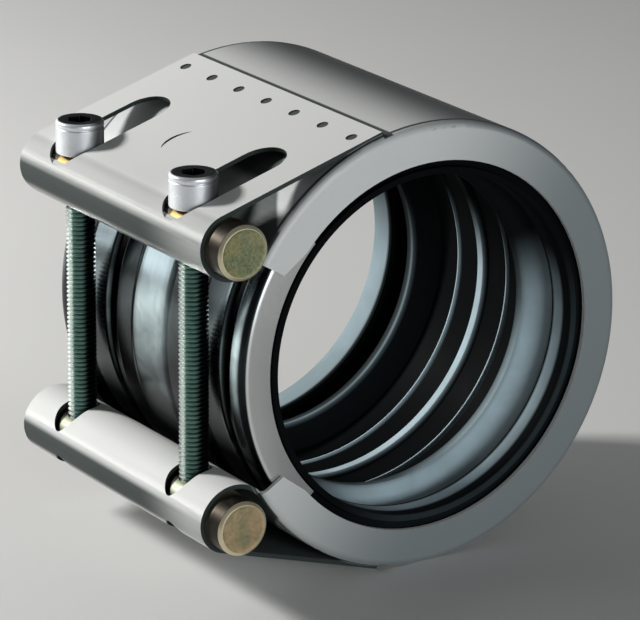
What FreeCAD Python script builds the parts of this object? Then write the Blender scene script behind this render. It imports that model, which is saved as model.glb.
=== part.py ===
import FreeCAD, Part
import math
import os
import Sketcher

# Flexible pipe coupling: two screws and two round bars draw a folded sheet casing round a rubber sleeve.
# The pipe runs along X, the gap and its lock lie towards -Y, and the screws stand along Z.

SIZES = {
    "casing_radius": 61.5,
    "casing_width": 97.2,
    "sheet": 1.2,
    "corner_radius": 2.2,
    "flange_depth": 10.5,
    "flange_span": 298.0,
    "flange_trim_depth": 2.6,
    "flange_trim_turn": 9.0,
    "bar_diameter": 15.0,
    "bar_proud": 4.9,
    "bar_recess": 0.4,
    "bar_chamfer": 0.9,
    "bar_spacing": 75.0,
    "loop_clearance": 0.1,
    "loop_standoff": 1.6,
    "bend_slack": 0.5,
    "weld_sink": 0.2,
    "weld_overlap": 3.6,
    "weld_inset": 6.2,
    "weld_span": 82.0,
    "weld_width": 3.2,
    "weld_depth": 0.3,
    "slot_width": 14.4,
    "slot_length": 37.5,
    "slot_reach": 6.4,
    "slot_undercut": 1.5,
    "mark_chord": 10.4,
    "mark_radius": 6.4,
    "mark_hollow": 9.0,
    "mark_depth": 0.35,
    "mark_place": 29.5,
    "mark_side": 3.7,
    "lug_hole": 9.6,
    "lug_hole_stretch": 3.4,
    "exit_hole": 9.6,
    "exit_hole_stretch": 3.0,
    "screw_inset": 19.6,
    "screw_diameter": 8.0,
    "screw_length": 88.0,
    "screw_tip": 1.0,
    "head_diameter": 13.0,
    "head_height": 9.0,
    "head_edge": 0.7,
    "key_width": 6.0,
    "key_depth": 4.5,
    "head_seat": 6.6,
    "seat_width": 14.0,
    "bar_hole_clearance": 0.5,
    "thread_clearance": 0.05,
    "bridge_sheet": 0.8,
    "bridge_span": 88.0,
    "bridge_clearance": 0.3,
    "bridge_depth": 2.2,
    "bridge_corner": 2.3,
    "bridge_flange_depth": 8.9,
    "crown_width": 15.0,
    "terrace_drop": 0.5,
    "screw_band": 10.2,
    "screw_band_drop": 1.2,
    "groove_width": 3.6,
    "groove_drop": 2.1,
    "rib_slope": 1.6,
    "sleeve_clearance": 0.3,
    "sleeve_edge": 1.0,
    "recess_span": 91.0,
    "channel_wall": 2.9,
    "channel_width": 42.0,
    "lip_height": 7.0,
    "lip_place": 26.4,
    "lip_land": 2.6,
    "lip_root": 34.6,
    "bead_height": 1.8,
    "bead_width": 8.0,
    "bead_nose": 1.6,
    "bead_round": 0.8,
    "rib_spacing": 11.6,
    "rib_height": 0.7,
    "rib_width": 1.0,
    "stop_height": 1.3,
    "stop_width": 2.4,
}


class Size:
    """A length that keeps its formula, so that a sketch is drawn and bound from the same value."""

    def __init__(self, number, text):
        self.number = float(number)
        self.text = text

    def __add__(self, other):
        other = as_size(other)
        return Size(self.number + other.number, "(%s + %s)" % (self.text, other.text))

    def __sub__(self, other):
        other = as_size(other)
        return Size(self.number - other.number, "(%s - %s)" % (self.text, other.text))

    def __mul__(self, other):
        other = as_size(other)
        return Size(self.number * other.number, "(%s * %s)" % (self.text, other.text))

    def __truediv__(self, other):
        other = as_size(other)
        return Size(self.number / other.number, "(%s / %s)" % (self.text, other.text))

    def __neg__(self):
        return Size(-self.number, "(0 - %s)" % self.text)


def as_size(value):
    if isinstance(value, Size):
        return value
    return Size(value, repr(value))


def root(value):
    return Size(math.sqrt(value.number), "sqrt(%s)" % value.text)


def arc_cosine(value):
    return Size(math.degrees(math.acos(value.number)), "(acos(%s) / 1deg)" % value.text)


def arc_sine(value):
    return Size(math.degrees(math.asin(value.number)), "(asin(%s) / 1deg)" % value.text)


def sine(value):
    return Size(math.sin(math.radians(value.number)), "sin(%s)" % value.text)


def cosine(value):
    return Size(math.cos(math.radians(value.number)), "cos(%s)" % value.text)


def write_sizes(document):
    """Fill the spreadsheet with the driving dimensions and return each as a Size."""
    sheet = document.addObject("Spreadsheet::Sheet", "Sizes")
    sizes = {}
    for row, (name, value) in enumerate(SIZES.items(), start=1):
        sheet.set("A%d" % row, name)
        sheet.set("B%d" % row, str(value))
        sheet.setAlias("B%d" % row, name)
        sizes[name] = Size(value, "Sizes." + name)
    document.recompute()
    return sizes


def new_body(document, name):
    body = document.addObject("PartDesign::Body", name)
    body.Label = name
    return body


def origin_plane(body, role):
    for feature in body.Origin.OriginFeatures:
        if feature.Role == role:
            return feature
    raise ValueError(role)


def new_sketch(body, name, role):
    sketch = body.newObject("Sketcher::SketchObject", name)
    sketch.AttachmentSupport = (origin_plane(body, role), [""])
    sketch.MapMode = "FlatFace"
    return sketch


def bind(target, path, size):
    target.setExpression(path, size.text)


def fix(sketch, size, *constraint):
    """Add a constraint that has a value and bind it to its formula."""
    index = sketch.addConstraint(Sketcher.Constraint(*constraint, size.number))
    sketch.setExpression("Constraints[%d]" % index, size.text)


def relate(sketch, *constraint):
    sketch.addConstraint(Sketcher.Constraint(*constraint))


def vector(x, y):
    return FreeCAD.Vector(x, y, 0)


def add_arc(sketch, centre, radius, start, end, construction=False):
    circle = Part.Circle(vector(*centre), vector(0, 0) + FreeCAD.Vector(0, 0, 1), radius)
    return sketch.addGeometry(Part.ArcOfCircle(circle, start, end), construction)


def add_line(sketch, start, end, construction=False):
    return sketch.addGeometry(Part.LineSegment(vector(*start), vector(*end)), construction)


def outline(sketch, corners, arcs=None):
    """Draw a closed outline through the corners, each a pair of Sizes, and bind every corner.

    arcs names the edges that are round: the edge after corner i has the radius arcs[i], and a negative
    radius bulges to the left of the way round instead of to the right.
    """
    arcs = arcs or {}
    ends = []
    for index, (x, y) in enumerate(corners):
        following = corners[(index + 1) % len(corners)]
        start = vector(x.number, y.number)
        end = vector(following[0].number, following[1].number)
        if index not in arcs:
            ends.append((add_line(sketch, (start.x, start.y), (end.x, end.y)), 1, 2))
            continue
        radius = abs(arcs[index].number)
        left = arcs[index].number < 0
        chord = end - start
        rise = math.sqrt(max(radius ** 2 - (chord.Length / 2) ** 2, 0))
        side = vector(-chord.y, chord.x).normalize()
        centre = (start + end) / 2 + side * (-rise if left else rise)
        first, last = (end, start) if left else (start, end)
        angles = [math.atan2(p.y - centre.y, p.x - centre.x) for p in (first, last)]
        if angles[1] < angles[0]:
            angles[1] += 2 * math.pi
        edge = add_arc(sketch, (centre.x, centre.y), radius, angles[0], angles[1])
        ends.append((edge, 2, 1) if left else (edge, 1, 2))
    for index, (edge, start_end, finish) in enumerate(ends):
        following = ends[(index + 1) % len(ends)]
        relate(sketch, "Coincident", edge, finish, following[0], following[1])
    for index, (x, y) in enumerate(corners):
        edge, start_end, finish = ends[index]
        place(sketch, edge, start_end, x, y)
        if index not in arcs:
            continue
        radius = arcs[index] if arcs[index].number > 0 else -arcs[index]
        following = corners[(index + 1) % len(corners)]
        chord = math.hypot(x.number - following[0].number, y.number - following[1].number)
        if abs(chord / 2 - radius.number) < 1e-6:
            # A half-circle is held by its centre, which lies level with its ends.
            fix(sketch, y, "DistanceY", -1, 1, edge, 3)
        else:
            fix(sketch, radius, "Radius", edge)


def place(sketch, edge, end, x, y):
    """Bind one point of the sketch to its two coordinates."""
    if abs(x.number) < 1e-9:
        relate(sketch, "PointOnObject", edge, end, -2)
    else:
        fix(sketch, x, "DistanceX", -1, 1, edge, end)
    if abs(y.number) < 1e-9:
        relate(sketch, "PointOnObject", edge, end, -1)
    else:
        fix(sketch, y, "DistanceY", -1, 1, edge, end)


def circle(sketch, x, y, diameter):
    radius = diameter / 2
    round_line = Part.Circle(vector(x.number, y.number), FreeCAD.Vector(0, 0, 1), radius.number)
    edge = sketch.addGeometry(round_line, False)
    place(sketch, edge, 3, x, y)
    fix(sketch, radius, "Radius", edge)


def slot(sketch, x, low, high, width):
    """Draw a round-ended slot along the sketch's Y between the outermost points low and high."""
    half = width / 2
    bottom = low + half
    top = high - half
    corners = [(x + half, bottom), (x + half, top), (x - half, top), (x - half, bottom)]
    outline(sketch, corners, {1: half, 3: half})


def pad(body, name, sketch, length):
    feature = body.newObject("PartDesign::Pad", name)
    feature.Profile = sketch
    feature.Midplane = True
    bind(feature, "Length", length)
    return feature


def pocket(body, name, sketch, depth, reverse=False, midplane=False):
    feature = body.newObject("PartDesign::Pocket", name)
    feature.Profile = sketch
    feature.Reversed = reverse
    feature.Midplane = midplane
    bind(feature, "Length", depth)
    return feature


def revolve(body, name, sketch, axis, angle=None):
    feature = body.newObject("PartDesign::Revolution", name)
    feature.Profile = sketch
    feature.ReferenceAxis = (sketch, [axis])
    if angle is None:
        feature.Angle = 360
    else:
        feature.Midplane = True
        bind(feature, "Angle", angle)
    return feature


def cut_round(body, name, sketch, axis, angle):
    """Cut the sketch's outline out of the body along an arc about the axis."""
    feature = body.newObject("PartDesign::Groove", name)
    feature.Profile = sketch
    feature.ReferenceAxis = (sketch, [axis])
    feature.Midplane = True
    bind(feature, "Angle", angle)
    body.Tip = feature
    return feature


def mirror(body, name, features, role):
    feature = body.newObject("PartDesign::Mirrored", name)
    feature.Originals = features
    feature.MirrorPlane = (origin_plane(body, role), [""])
    body.Tip = feature
    return feature


def work_out(size):
    """Add the lengths that follow from the driving dimensions."""
    size["loop_radius"] = size["bar_diameter"] / 2 + size["loop_clearance"]
    size["bar_distance"] = size["casing_radius"] + size["loop_standoff"] + size["sheet"] + size["loop_radius"]
    size["bar_length"] = size["casing_width"] + size["bar_proud"] - size["bar_recess"]
    size["bar_shift"] = (size["bar_proud"] + size["bar_recess"]) / 2
    size["bar_height"] = size["bar_spacing"] / 2
    square = size["bar_distance"] * size["bar_distance"] - size["bar_height"] * size["bar_height"]
    size["bar_reach"] = root(square)
    across_loop = size["loop_standoff"] + size["sheet"] + size["loop_radius"] * 2
    size["bend_radius"] = across_loop / 2 + size["bend_slack"]
    size["plate_level"] = size["casing_radius"] - size["weld_sink"]
    drop = size["plate_level"] - size["loop_radius"]
    size["plate_run"] = root(size["bar_distance"] * size["bar_distance"] - drop * drop)
    climb = arc_sine(size["bar_height"] / size["bar_distance"]) + arc_cosine(drop / size["bar_distance"])
    size["plate_tilt"] = Size(90, "90") - climb
    size["screw_side"] = size["casing_width"] / 2 - size["screw_inset"]
    size["bridge_radius"] = size["casing_radius"] - size["sheet"] - size["bridge_depth"]
    size["flange_radius"] = size["casing_radius"] - size["flange_depth"]
    size["bridge_flange_radius"] = size["bridge_radius"] - size["bridge_flange_depth"]
    size["bridge_half"] = size["casing_width"] / 2 - size["sheet"] - size["bridge_clearance"]
    size["sleeve_half"] = size["bridge_half"] - size["bridge_sheet"] - size["sleeve_clearance"]


def draw_fold(sketch, size):
    """Draw the upper half of the folded sheet: shell, reverse bend, loop round the bar and welded plate.

    The teardrop between the plate, the bar's loop and the shell is an inner outline of the same sketch.
    """
    outer = size["casing_radius"].number
    sheet = size["sheet"].number
    reach = -size["bar_reach"].number
    height = size["bar_height"].number
    distance = size["bar_distance"].number
    loop = size["loop_radius"].number
    bend = size["bend_radius"].number
    level = size["plate_level"].number
    run = size["plate_run"].number
    overlap = size["weld_overlap"].number

    # Directions: along the plate, to the bar, and to the centre of the reverse bend.
    plate = math.radians(90 + size["plate_tilt"].number)
    bar = math.atan2(height, reach)
    centre_distance = outer + bend
    swing = math.acos(
        (centre_distance ** 2 + distance ** 2 - (bend - loop) ** 2) / (2 * centre_distance * distance)
    )
    shell_end = bar - swing
    centre = (centre_distance * math.cos(shell_end), centre_distance * math.sin(shell_end))
    meeting = math.atan2(height - centre[1], reach - centre[0]) % (2 * math.pi)
    normal = (math.cos(plate), math.sin(plate))
    along = (-normal[1], normal[0])
    weld_start = math.acos(level / outer)
    end_rise = math.asin(overlap / outer)

    def on_plate(rise, forward):
        return (normal[0] * rise + along[0] * forward, normal[1] * rise + along[1] * forward)

    base = add_line(sketch, (outer - sheet, 0), (outer, 0))
    shell = add_arc(sketch, (0, 0), outer, 0, plate - end_rise)
    lining = add_arc(sketch, (0, 0), outer - sheet, 0, shell_end)
    hidden = add_arc(sketch, (0, 0), outer, plate + weld_start, shell_end)
    inner_loop = add_arc(sketch, (reach, height), loop, plate, meeting)
    outer_loop = add_arc(sketch, (reach, height), loop + sheet, plate, meeting)
    inner_bend = add_arc(sketch, centre, bend, meeting, shell_end + math.pi)
    outer_bend = add_arc(sketch, centre, bend + sheet, meeting, shell_end + math.pi)
    under = add_line(sketch, on_plate(level, math.sqrt(outer ** 2 - level ** 2)), on_plate(level, run))
    over = add_line(sketch, on_plate(level + sheet, -overlap), on_plate(level + sheet, run))
    landing = on_plate(math.sqrt(outer ** 2 - overlap ** 2), -overlap)
    edge = add_line(sketch, landing, on_plate(level + sheet, -overlap))
    seat = sketch.addGeometry(Part.Circle(vector(0, 0), FreeCAD.Vector(0, 0, 1), level), True)
    spoke = add_line(sketch, (0, 0), centre, True)
    rim = (reach + (loop + sheet) * math.cos(meeting), height + (loop + sheet) * math.sin(meeting))
    reach_line = add_line(sketch, centre, rim, True)
    foot = add_line(sketch, (0, 0), on_plate(level + sheet, 0), True)

    for arc in (shell, lining, hidden, seat):
        relate(sketch, "Coincident", arc, 3, -1, 1)
    relate(sketch, "PointOnObject", base, 1, -1)
    relate(sketch, "PointOnObject", base, 2, -1)
    relate(sketch, "Coincident", base, 1, lining, 1)
    relate(sketch, "Coincident", base, 2, shell, 1)
    fix(sketch, size["casing_radius"], "Radius", shell)
    fix(sketch, size["casing_radius"] - size["sheet"], "Radius", lining)
    fix(sketch, size["casing_radius"], "Radius", hidden)
    fix(sketch, size["plate_level"], "Radius", seat)

    # The loop stands concentric with the bar, and the reverse bend runs tangent from the shell into it.
    fix(sketch, size["bar_height"], "DistanceY", -1, 1, inner_loop, 3)
    fix(sketch, size["bar_distance"], "Distance", -1, 1, inner_loop, 3)
    fix(sketch, size["loop_radius"], "Radius", inner_loop)
    fix(sketch, size["bend_radius"], "Radius", inner_bend)
    relate(sketch, "Coincident", outer_loop, 3, inner_loop, 3)
    relate(sketch, "Tangent", inner_loop, 2, inner_bend, 1)
    relate(sketch, "Tangent", inner_bend, 2, hidden, 2)
    relate(sketch, "Coincident", spoke, 1, -1, 1)
    relate(sketch, "Coincident", spoke, 2, inner_bend, 3)
    relate(sketch, "Coincident", outer_bend, 3, inner_bend, 3)
    relate(sketch, "Coincident", outer_bend, 2, lining, 2)
    relate(sketch, "PointOnObject", lining, 2, spoke)
    relate(sketch, "Coincident", reach_line, 1, inner_bend, 3)
    relate(sketch, "Coincident", reach_line, 2, outer_bend, 1)
    relate(sketch, "Coincident", outer_bend, 1, outer_loop, 2)
    relate(sketch, "PointOnObject", inner_loop, 3, reach_line)

    # The plate leaves the loop tangent to it and lands flat on the shell, where its end is welded.
    relate(sketch, "Tangent", under, 2, inner_loop, 1)
    relate(sketch, "Tangent", under, seat)
    relate(sketch, "Coincident", under, 1, hidden, 1)
    relate(sketch, "Tangent", over, 2, outer_loop, 1)
    relate(sketch, "Parallel", over, under)
    relate(sketch, "Coincident", edge, 1, shell, 2)
    relate(sketch, "Coincident", edge, 2, over, 1)
    relate(sketch, "Perpendicular", edge, over)
    relate(sketch, "Coincident", foot, 1, -1, 1)
    relate(sketch, "PointOnObject", foot, 2, over)
    relate(sketch, "Perpendicular", foot, over)
    fix(sketch, size["weld_overlap"], "Distance", foot, 2, over, 1)


def plate_sketch(body, name, size, level, below=False):
    """Lay a sketch on the upper or lower plate: its Y runs along the plate and its normal points outwards."""
    sketch = new_sketch(body, name, "XY_Plane")
    turn = Size(180, "180") - size["plate_tilt"] if below else size["plate_tilt"]
    sketch.AttachmentOffset = FreeCAD.Placement(
        FreeCAD.Vector(0, -sine(turn).number * level.number, cosine(turn).number * level.number),
        FreeCAD.Rotation(FreeCAD.Vector(1, 0, 0), turn.number),
    )
    bind(sketch, "AttachmentOffset.Base.y", -(sine(turn) * level))
    bind(sketch, "AttachmentOffset.Base.z", cosine(turn) * level)
    bind(sketch, "AttachmentOffset.Rotation.Angle", turn)
    return sketch


def level_sketch(body, name, height):
    """Lay a sketch square to the screws at the given height."""
    sketch = new_sketch(body, name, "XY_Plane")
    bind(sketch, "AttachmentOffset.Base.z", height)
    return sketch


def build_flange(body, size):
    """Fold both flanges inwards with a rounded corner, along the shell's span."""
    half = size["casing_width"] / 2
    strip = half - size["corner_radius"]
    inner = half - size["sheet"]
    radius = size["casing_radius"]
    lining = radius - size["sheet"]
    shoulder = radius - size["corner_radius"]
    sketch = new_sketch(body, "flange_section", "XY_Plane")
    corners = [
        (strip, radius),
        (strip, lining),
        (inner, shoulder),
        (inner, size["flange_radius"]),
        (half, size["flange_radius"]),
        (half, shoulder),
    ]
    outline(sketch, corners, {1: -(size["corner_radius"] - size["sheet"]), 5: size["corner_radius"]})
    flange = revolve(body, "flange", sketch, "H_Axis", size["flange_span"])
    mirror(body, "far_flange", [flange], "YZ_Plane")
    trim_flange_ends(body, size)


def trim_flange_ends(body, size):
    """Trim the inner corners of both flanges beside the gap."""
    trim = new_sketch(body, "flange_trim", "YZ_Plane")
    inner = size["flange_radius"]
    depth = size["flange_trim_depth"]
    end = (Size(360, "360") - size["flange_span"]) / 2
    turned = end + size["flange_trim_turn"]
    corners = [(inner + depth, end), (inner, turned), (inner - depth, end)]
    above = [(-(radius * cosine(angle)), radius * sine(angle)) for radius, angle in corners]
    below = [(y, -z) for y, z in reversed(above)]
    outline(trim, above)
    outline(trim, below)
    pocket(body, "flange_trims", trim, size["casing_width"] * 2, midplane=True)


def build_casing(document, size):
    body = new_body(document, "casing")
    fold = new_sketch(body, "fold", "YZ_Plane")
    draw_fold(fold, size)
    strip = pad(body, "strip", fold, size["casing_width"] - size["corner_radius"] * 2)
    document.recompute()
    mirror(body, "lower_strip", [strip], "XY_Plane")
    build_flange(body, size)
    document.recompute()

    # The screw heads sit in long slots that run from the loop up the plate.
    far_end = size["plate_run"] + size["slot_reach"]
    slots = plate_sketch(body, "head_slots", size, size["plate_level"] - size["slot_undercut"])
    for side in (size["screw_side"], -size["screw_side"]):
        slot(slots, side, -far_end, size["slot_length"] - far_end, size["slot_width"])
    cut = pocket(body, "head_slot", slots, size["bar_diameter"], reverse=True)
    body.Tip = cut

    # A pressed crescent marks the middle of the plate.
    mark = plate_sketch(body, "mark_outline", size, size["plate_level"] + size["sheet"])
    half = size["mark_chord"] / 2
    near_end = (-size["mark_side"], half - size["mark_place"])
    far_end = (-size["mark_side"], -(half + size["mark_place"]))
    outline(mark, [near_end, far_end], {0: size["mark_radius"], 1: -size["mark_hollow"]})
    pocket(body, "mark", mark, size["mark_depth"])

    # A row of spot welds ties each plate's end to the shell.
    for below in (False, True):
        side = "lower" if below else "upper"
        spots = plate_sketch(body, side + "_weld_outline", size, size["plate_level"] + size["sheet"], below)
        place_on_plate = size["weld_overlap"] - size["weld_inset"]
        if below:
            place_on_plate = -place_on_plate
        circle(spots, -(size["weld_span"] / 2), place_on_plate, size["weld_width"])
        spot = pocket(body, side + "_weld", spots, size["weld_depth"])
        row = body.newObject("PartDesign::LinearPattern", side + "_weld_row")
        row.Originals = [spot]
        row.Direction = (spots, ["H_Axis"])
        row.Occurrences = 7
        bind(row, "Length", size["weld_span"])
        body.Tip = row
    document.recompute()

    # Holes let the screws through both walls of the gap and out of the lower loop.
    stretch = size["lug_hole_stretch"]
    wall = size["loop_radius"] * 2
    for name, level, hole, run, downwards in (
        ("upper_lug", size["bar_height"], size["lug_hole"], Size(0, "0"), True),
        ("lower_lug", -size["bar_height"], size["lug_hole"], stretch, False),
        ("exit", -size["bar_height"], size["exit_hole"], size["exit_hole_stretch"], True),
    ):
        holes = level_sketch(body, name + "_holes", level)
        for side in (size["screw_side"], -size["screw_side"]):
            if run.number == 0:
                circle(holes, side, -size["bar_reach"], hole)
                continue
            slot(holes, side, -(size["bar_reach"] + hole / 2 + run), hole / 2 - size["bar_reach"], hole)
        pocket(body, name + "_hole", holes, wall, reverse=not downwards)
    return body


def build_bridge(document, size):
    """Revolve the ribbed section of the bridge plate through its span about the pipe's axis."""
    body = new_body(document, "bridge_plate")
    outer = size["bridge_radius"]
    half = size["bridge_half"]
    slope = size["rib_slope"]
    corner = size["bridge_corner"]
    thick = size["bridge_sheet"]
    crown = size["crown_width"] / 2
    terrace = outer - size["terrace_drop"]
    band = outer - size["screw_band_drop"]
    floor = outer - size["groove_drop"]
    groove = size["groove_width"]
    band_start = size["screw_side"] - size["screw_band"] / 2
    band_end = size["screw_side"] + size["screw_band"] / 2
    # The screws pass close outside the sunken band, which has a groove on either side.
    stations = [
        (Size(0, "0"), outer),
        (crown, outer),
        (crown + slope, terrace),
        (band_start - slope - groove - slope, terrace),
        (band_start - slope - groove, floor),
        (band_start - slope, floor),
        (band_start, band),
        (band_end, band),
        (band_end + slope, floor),
        (band_end + slope + groove, floor),
        (band_end + slope + groove + slope, outer),
        (half - corner, outer),
    ]
    sketch = new_sketch(body, "bridge_section", "XY_Plane")
    top = [(x, -radius) for x, radius in stations]
    flange = [
        (half, corner - outer),
        (half, -size["bridge_flange_radius"]),
        (half - thick, -size["bridge_flange_radius"]),
        (half - thick, corner - outer),
    ]
    inside = [(x, thick - radius) for x, radius in reversed(stations)]
    corners = top + flange + inside
    bend = len(stations) - 1
    outline(sketch, corners, {bend: corner, bend + 4: -(corner - thick)})
    section = revolve(body, "ribbed_half", sketch, "H_Axis", size["bridge_span"])
    mirror(body, "ribbed_plate", [section], "YZ_Plane")
    return body


def build_sleeve(document, size):
    """Revolve the rubber sleeve: end beads, leaning sealing lips, two thin ribs and a middle stop."""
    body = new_body(document, "sealing_sleeve")
    outer = size["casing_radius"] - size["sheet"] - size["sleeve_clearance"]
    ledge = size["bridge_radius"] - size["bridge_sheet"] - size["sleeve_clearance"]
    waist = ledge - size["groove_drop"]
    half = size["sleeve_half"]
    groove_end = size["screw_side"] + size["screw_band"] / 2 + size["groove_width"] + size["rib_slope"] * 2
    step = groove_end + size["sleeve_clearance"]
    edge = size["sleeve_edge"]
    channel = waist - size["channel_wall"]
    crest = channel - size["lip_height"]
    rib = size["rib_spacing"]
    rib_half = size["rib_width"] / 2
    stop = size["stop_width"] / 2
    lip = size["lip_place"]
    land = size["lip_land"] / 2
    nose = half + size["bead_nose"]
    nose_top = size["bridge_flange_radius"] - size["sleeve_clearance"]
    bead = nose_top - size["bead_height"]
    round_off = size["bead_round"]
    corners = [
        (Size(0, "0"), outer),
        (Size(0, "0"), channel - size["stop_height"]),
        (stop / 2, channel - size["stop_height"]),
        (stop, channel),
        (rib - rib_half, channel),
        (rib - rib_half / 2, channel - size["rib_height"]),
        (rib + rib_half / 2, channel - size["rib_height"]),
        (rib + rib_half, channel),
        (size["channel_width"] / 2, channel),
        (lip - land, crest),
        (lip + land, crest),
        (size["lip_root"], channel),
        (half - size["bead_width"] + round_off, channel),
        (half - size["bead_width"] + round_off, bead + round_off),
        (half - size["bead_width"] + round_off * 2, bead),
        (nose - round_off, bead),
        (nose, bead + round_off),
        (nose, nose_top),
        (half, nose_top),
        (half, outer - edge),
        (half - edge, outer),
    ]
    sketch = new_sketch(body, "sleeve_section", "XY_Plane")
    outline(sketch, corners, {13: round_off, 15: round_off})
    section = revolve(body, "moulded_half", sketch, "H_Axis")
    mirror(body, "moulding", [section], "YZ_Plane")

    # The bridge plate lies sunk in a recess across the gap.
    recess = new_sketch(body, "recess_section", "XY_Plane")
    near = [
        (step, -waist),
        (step, -ledge),
        (half - edge, -ledge),
        (half, edge - ledge),
        (nose, edge - ledge),
        (nose, -size["casing_radius"]),
    ]
    outline(recess, near + [(-x, y) for x, y in reversed(near)])
    cut_round(body, "bridge_recess", recess, "H_Axis", size["recess_span"])
    return body


def build_bar(document, size, name, height, hole, seated):
    """Make a chamfered round bar with two cross holes, and flat seats for the heads if it carries them."""
    body = new_body(document, name)
    bind(body, "Placement.Base.y", -size["bar_reach"])
    bind(body, "Placement.Base.z", height)
    ring = new_sketch(body, name + "_ring", "YZ_Plane")
    bind(ring, "AttachmentOffset.Base.z", size["bar_shift"])
    circle(ring, Size(0, "0"), Size(0, "0"), size["bar_diameter"])
    stock = pad(body, name + "_stock", ring, size["bar_length"])
    document.recompute()
    chamfer = body.newObject("PartDesign::Chamfer", name + "_chamfer")
    rims = [
        "Edge%d" % number
        for number, edge in enumerate(stock.Shape.Edges, start=1)
        if isinstance(edge.Curve, Part.Circle)
    ]
    chamfer.Base = (stock, rims)
    bind(chamfer, "Size", size["bar_chamfer"])
    body.Tip = chamfer
    if seated:
        seats = level_sketch(body, name + "_seat_outline", size["head_seat"])
        for side in (size["screw_side"], -size["screw_side"]):
            circle(seats, side, Size(0, "0"), size["seat_width"])
        pocket(body, name + "_seats", seats, size["bar_diameter"], reverse=True)
    holes = new_sketch(body, name + "_hole_outline", "XY_Plane")
    for side in (size["screw_side"], -size["screw_side"]):
        circle(holes, side, Size(0, "0"), hole)
    pocket(body, name + "_holes", holes, size["bar_diameter"] * 2, midplane=True)
    return body


def build_screw(document, size, name, side):
    """Revolve one socket head cap screw, standing on its seat, and sink its hexagon socket."""
    body = new_body(document, name)
    bind(body, "Placement.Base.x", side)
    bind(body, "Placement.Base.y", -size["bar_reach"])
    bind(body, "Placement.Base.z", size["bar_height"] + size["head_seat"])
    head = size["head_diameter"] / 2
    shank = size["screw_diameter"] / 2
    edge = size["head_edge"]
    corners = [
        (Size(0, "0"), size["head_height"]),
        (head - edge, size["head_height"]),
        (head, size["head_height"] - edge),
        (head, Size(0, "0")),
        (shank, Size(0, "0")),
        (shank, size["screw_tip"] - size["screw_length"]),
        (shank - size["screw_tip"], -size["screw_length"]),
        (Size(0, "0"), -size["screw_length"]),
    ]
    sketch = new_sketch(body, name + "_section", "XZ_Plane")
    outline(sketch, corners)
    revolve(body, name + "_blank", sketch, "V_Axis")
    socket = level_sketch(body, name + "_socket_outline", size["head_height"])
    corner = size["key_width"] / math.sqrt(3)
    points = []
    for turn in range(6):
        angle = math.radians(60 * turn)
        points.append((corner * round(math.cos(angle), 6), corner * round(math.sin(angle), 6)))
    outline(socket, points)
    pocket(body, name + "_socket", socket, size["key_depth"])
    return body


def main():
    document = FreeCAD.newDocument("flexible_pipe_coupling")
    size = write_sizes(document)
    work_out(size)
    clear_hole = size["screw_diameter"] + size["bar_hole_clearance"] * 2
    tapped_hole = size["screw_diameter"] + size["thread_clearance"] * 2
    bodies = [
        build_casing(document, size),
        build_bridge(document, size),
        build_sleeve(document, size),
        build_bar(document, size, "upper_bar", size["bar_height"], clear_hole, True),
        build_bar(document, size, "lower_bar", -size["bar_height"], tapped_hole, False),
        build_screw(document, size, "screw_near", size["screw_side"]),
        build_screw(document, size, "screw_far", -size["screw_side"]),
    ]
    document.recompute()
    for item in document.Objects:
        if "Invalid" in item.State or "Error" in item.State:
            raise RuntimeError("%s failed" % item.Name)
    os.makedirs("parts", exist_ok=True)
    for body in bodies:
        if body.Shape.isNull() or not body.Shape.isValid():
            raise RuntimeError("%s has no valid shape" % body.Label)
        body.Shape.exportStep("parts/%s.step" % body.Label)


main()
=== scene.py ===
"""Dress the flexible pipe coupling: folded steel casing, bridge plate, rubber sleeve, bars and screws.

Each operator models one piece, or a pair of like pieces, and gives it its finish.
The stage operator adds the floor, the lamps and the camera.
"""

import math
from types import SimpleNamespace

import bmesh
import bpy
from mathutils import Matrix, Vector


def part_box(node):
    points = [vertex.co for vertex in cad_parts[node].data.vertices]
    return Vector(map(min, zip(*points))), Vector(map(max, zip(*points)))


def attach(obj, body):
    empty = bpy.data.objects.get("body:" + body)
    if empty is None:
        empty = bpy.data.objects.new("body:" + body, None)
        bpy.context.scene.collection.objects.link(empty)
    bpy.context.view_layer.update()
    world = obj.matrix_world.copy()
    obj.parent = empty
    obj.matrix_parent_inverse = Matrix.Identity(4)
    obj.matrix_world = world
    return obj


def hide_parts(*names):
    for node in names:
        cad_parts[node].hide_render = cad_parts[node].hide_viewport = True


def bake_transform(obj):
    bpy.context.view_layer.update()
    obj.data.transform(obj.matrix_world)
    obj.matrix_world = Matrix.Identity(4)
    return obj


bl_info = {
    "name": "Flexible Pipe Coupling",
    "version": (1, 0, 0),
    "blender": (4, 5, 0),
    "location": "3D View > Sidebar > Coupling",
    "description": "Models and finishes a split sheet metal pipe coupling",
    "category": "Object",
}

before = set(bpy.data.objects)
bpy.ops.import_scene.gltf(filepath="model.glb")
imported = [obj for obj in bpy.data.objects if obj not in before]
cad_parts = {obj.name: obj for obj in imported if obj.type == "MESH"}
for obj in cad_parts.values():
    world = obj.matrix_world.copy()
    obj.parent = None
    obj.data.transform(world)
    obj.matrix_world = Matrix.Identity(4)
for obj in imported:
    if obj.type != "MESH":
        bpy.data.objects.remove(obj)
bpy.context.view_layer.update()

MM = 0.001
CASING_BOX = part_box("casing")
BRIDGE_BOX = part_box("bridge_plate")
UPPER_BAR_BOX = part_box("upper_bar")
LOWER_BAR_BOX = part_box("lower_bar")
NEAR_SCREW_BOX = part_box("screw_near")
FAR_SCREW_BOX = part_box("screw_far")
SHELL_RADIUS = CASING_BOX[1].y
SHELL_END = CASING_BOX[1].x
# The screws stand this far from the middle of the bore, one to each side
SCREW_PLACE = (NEAR_SCREW_BOX[0].x + NEAR_SCREW_BOX[1].x) / 2

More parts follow.
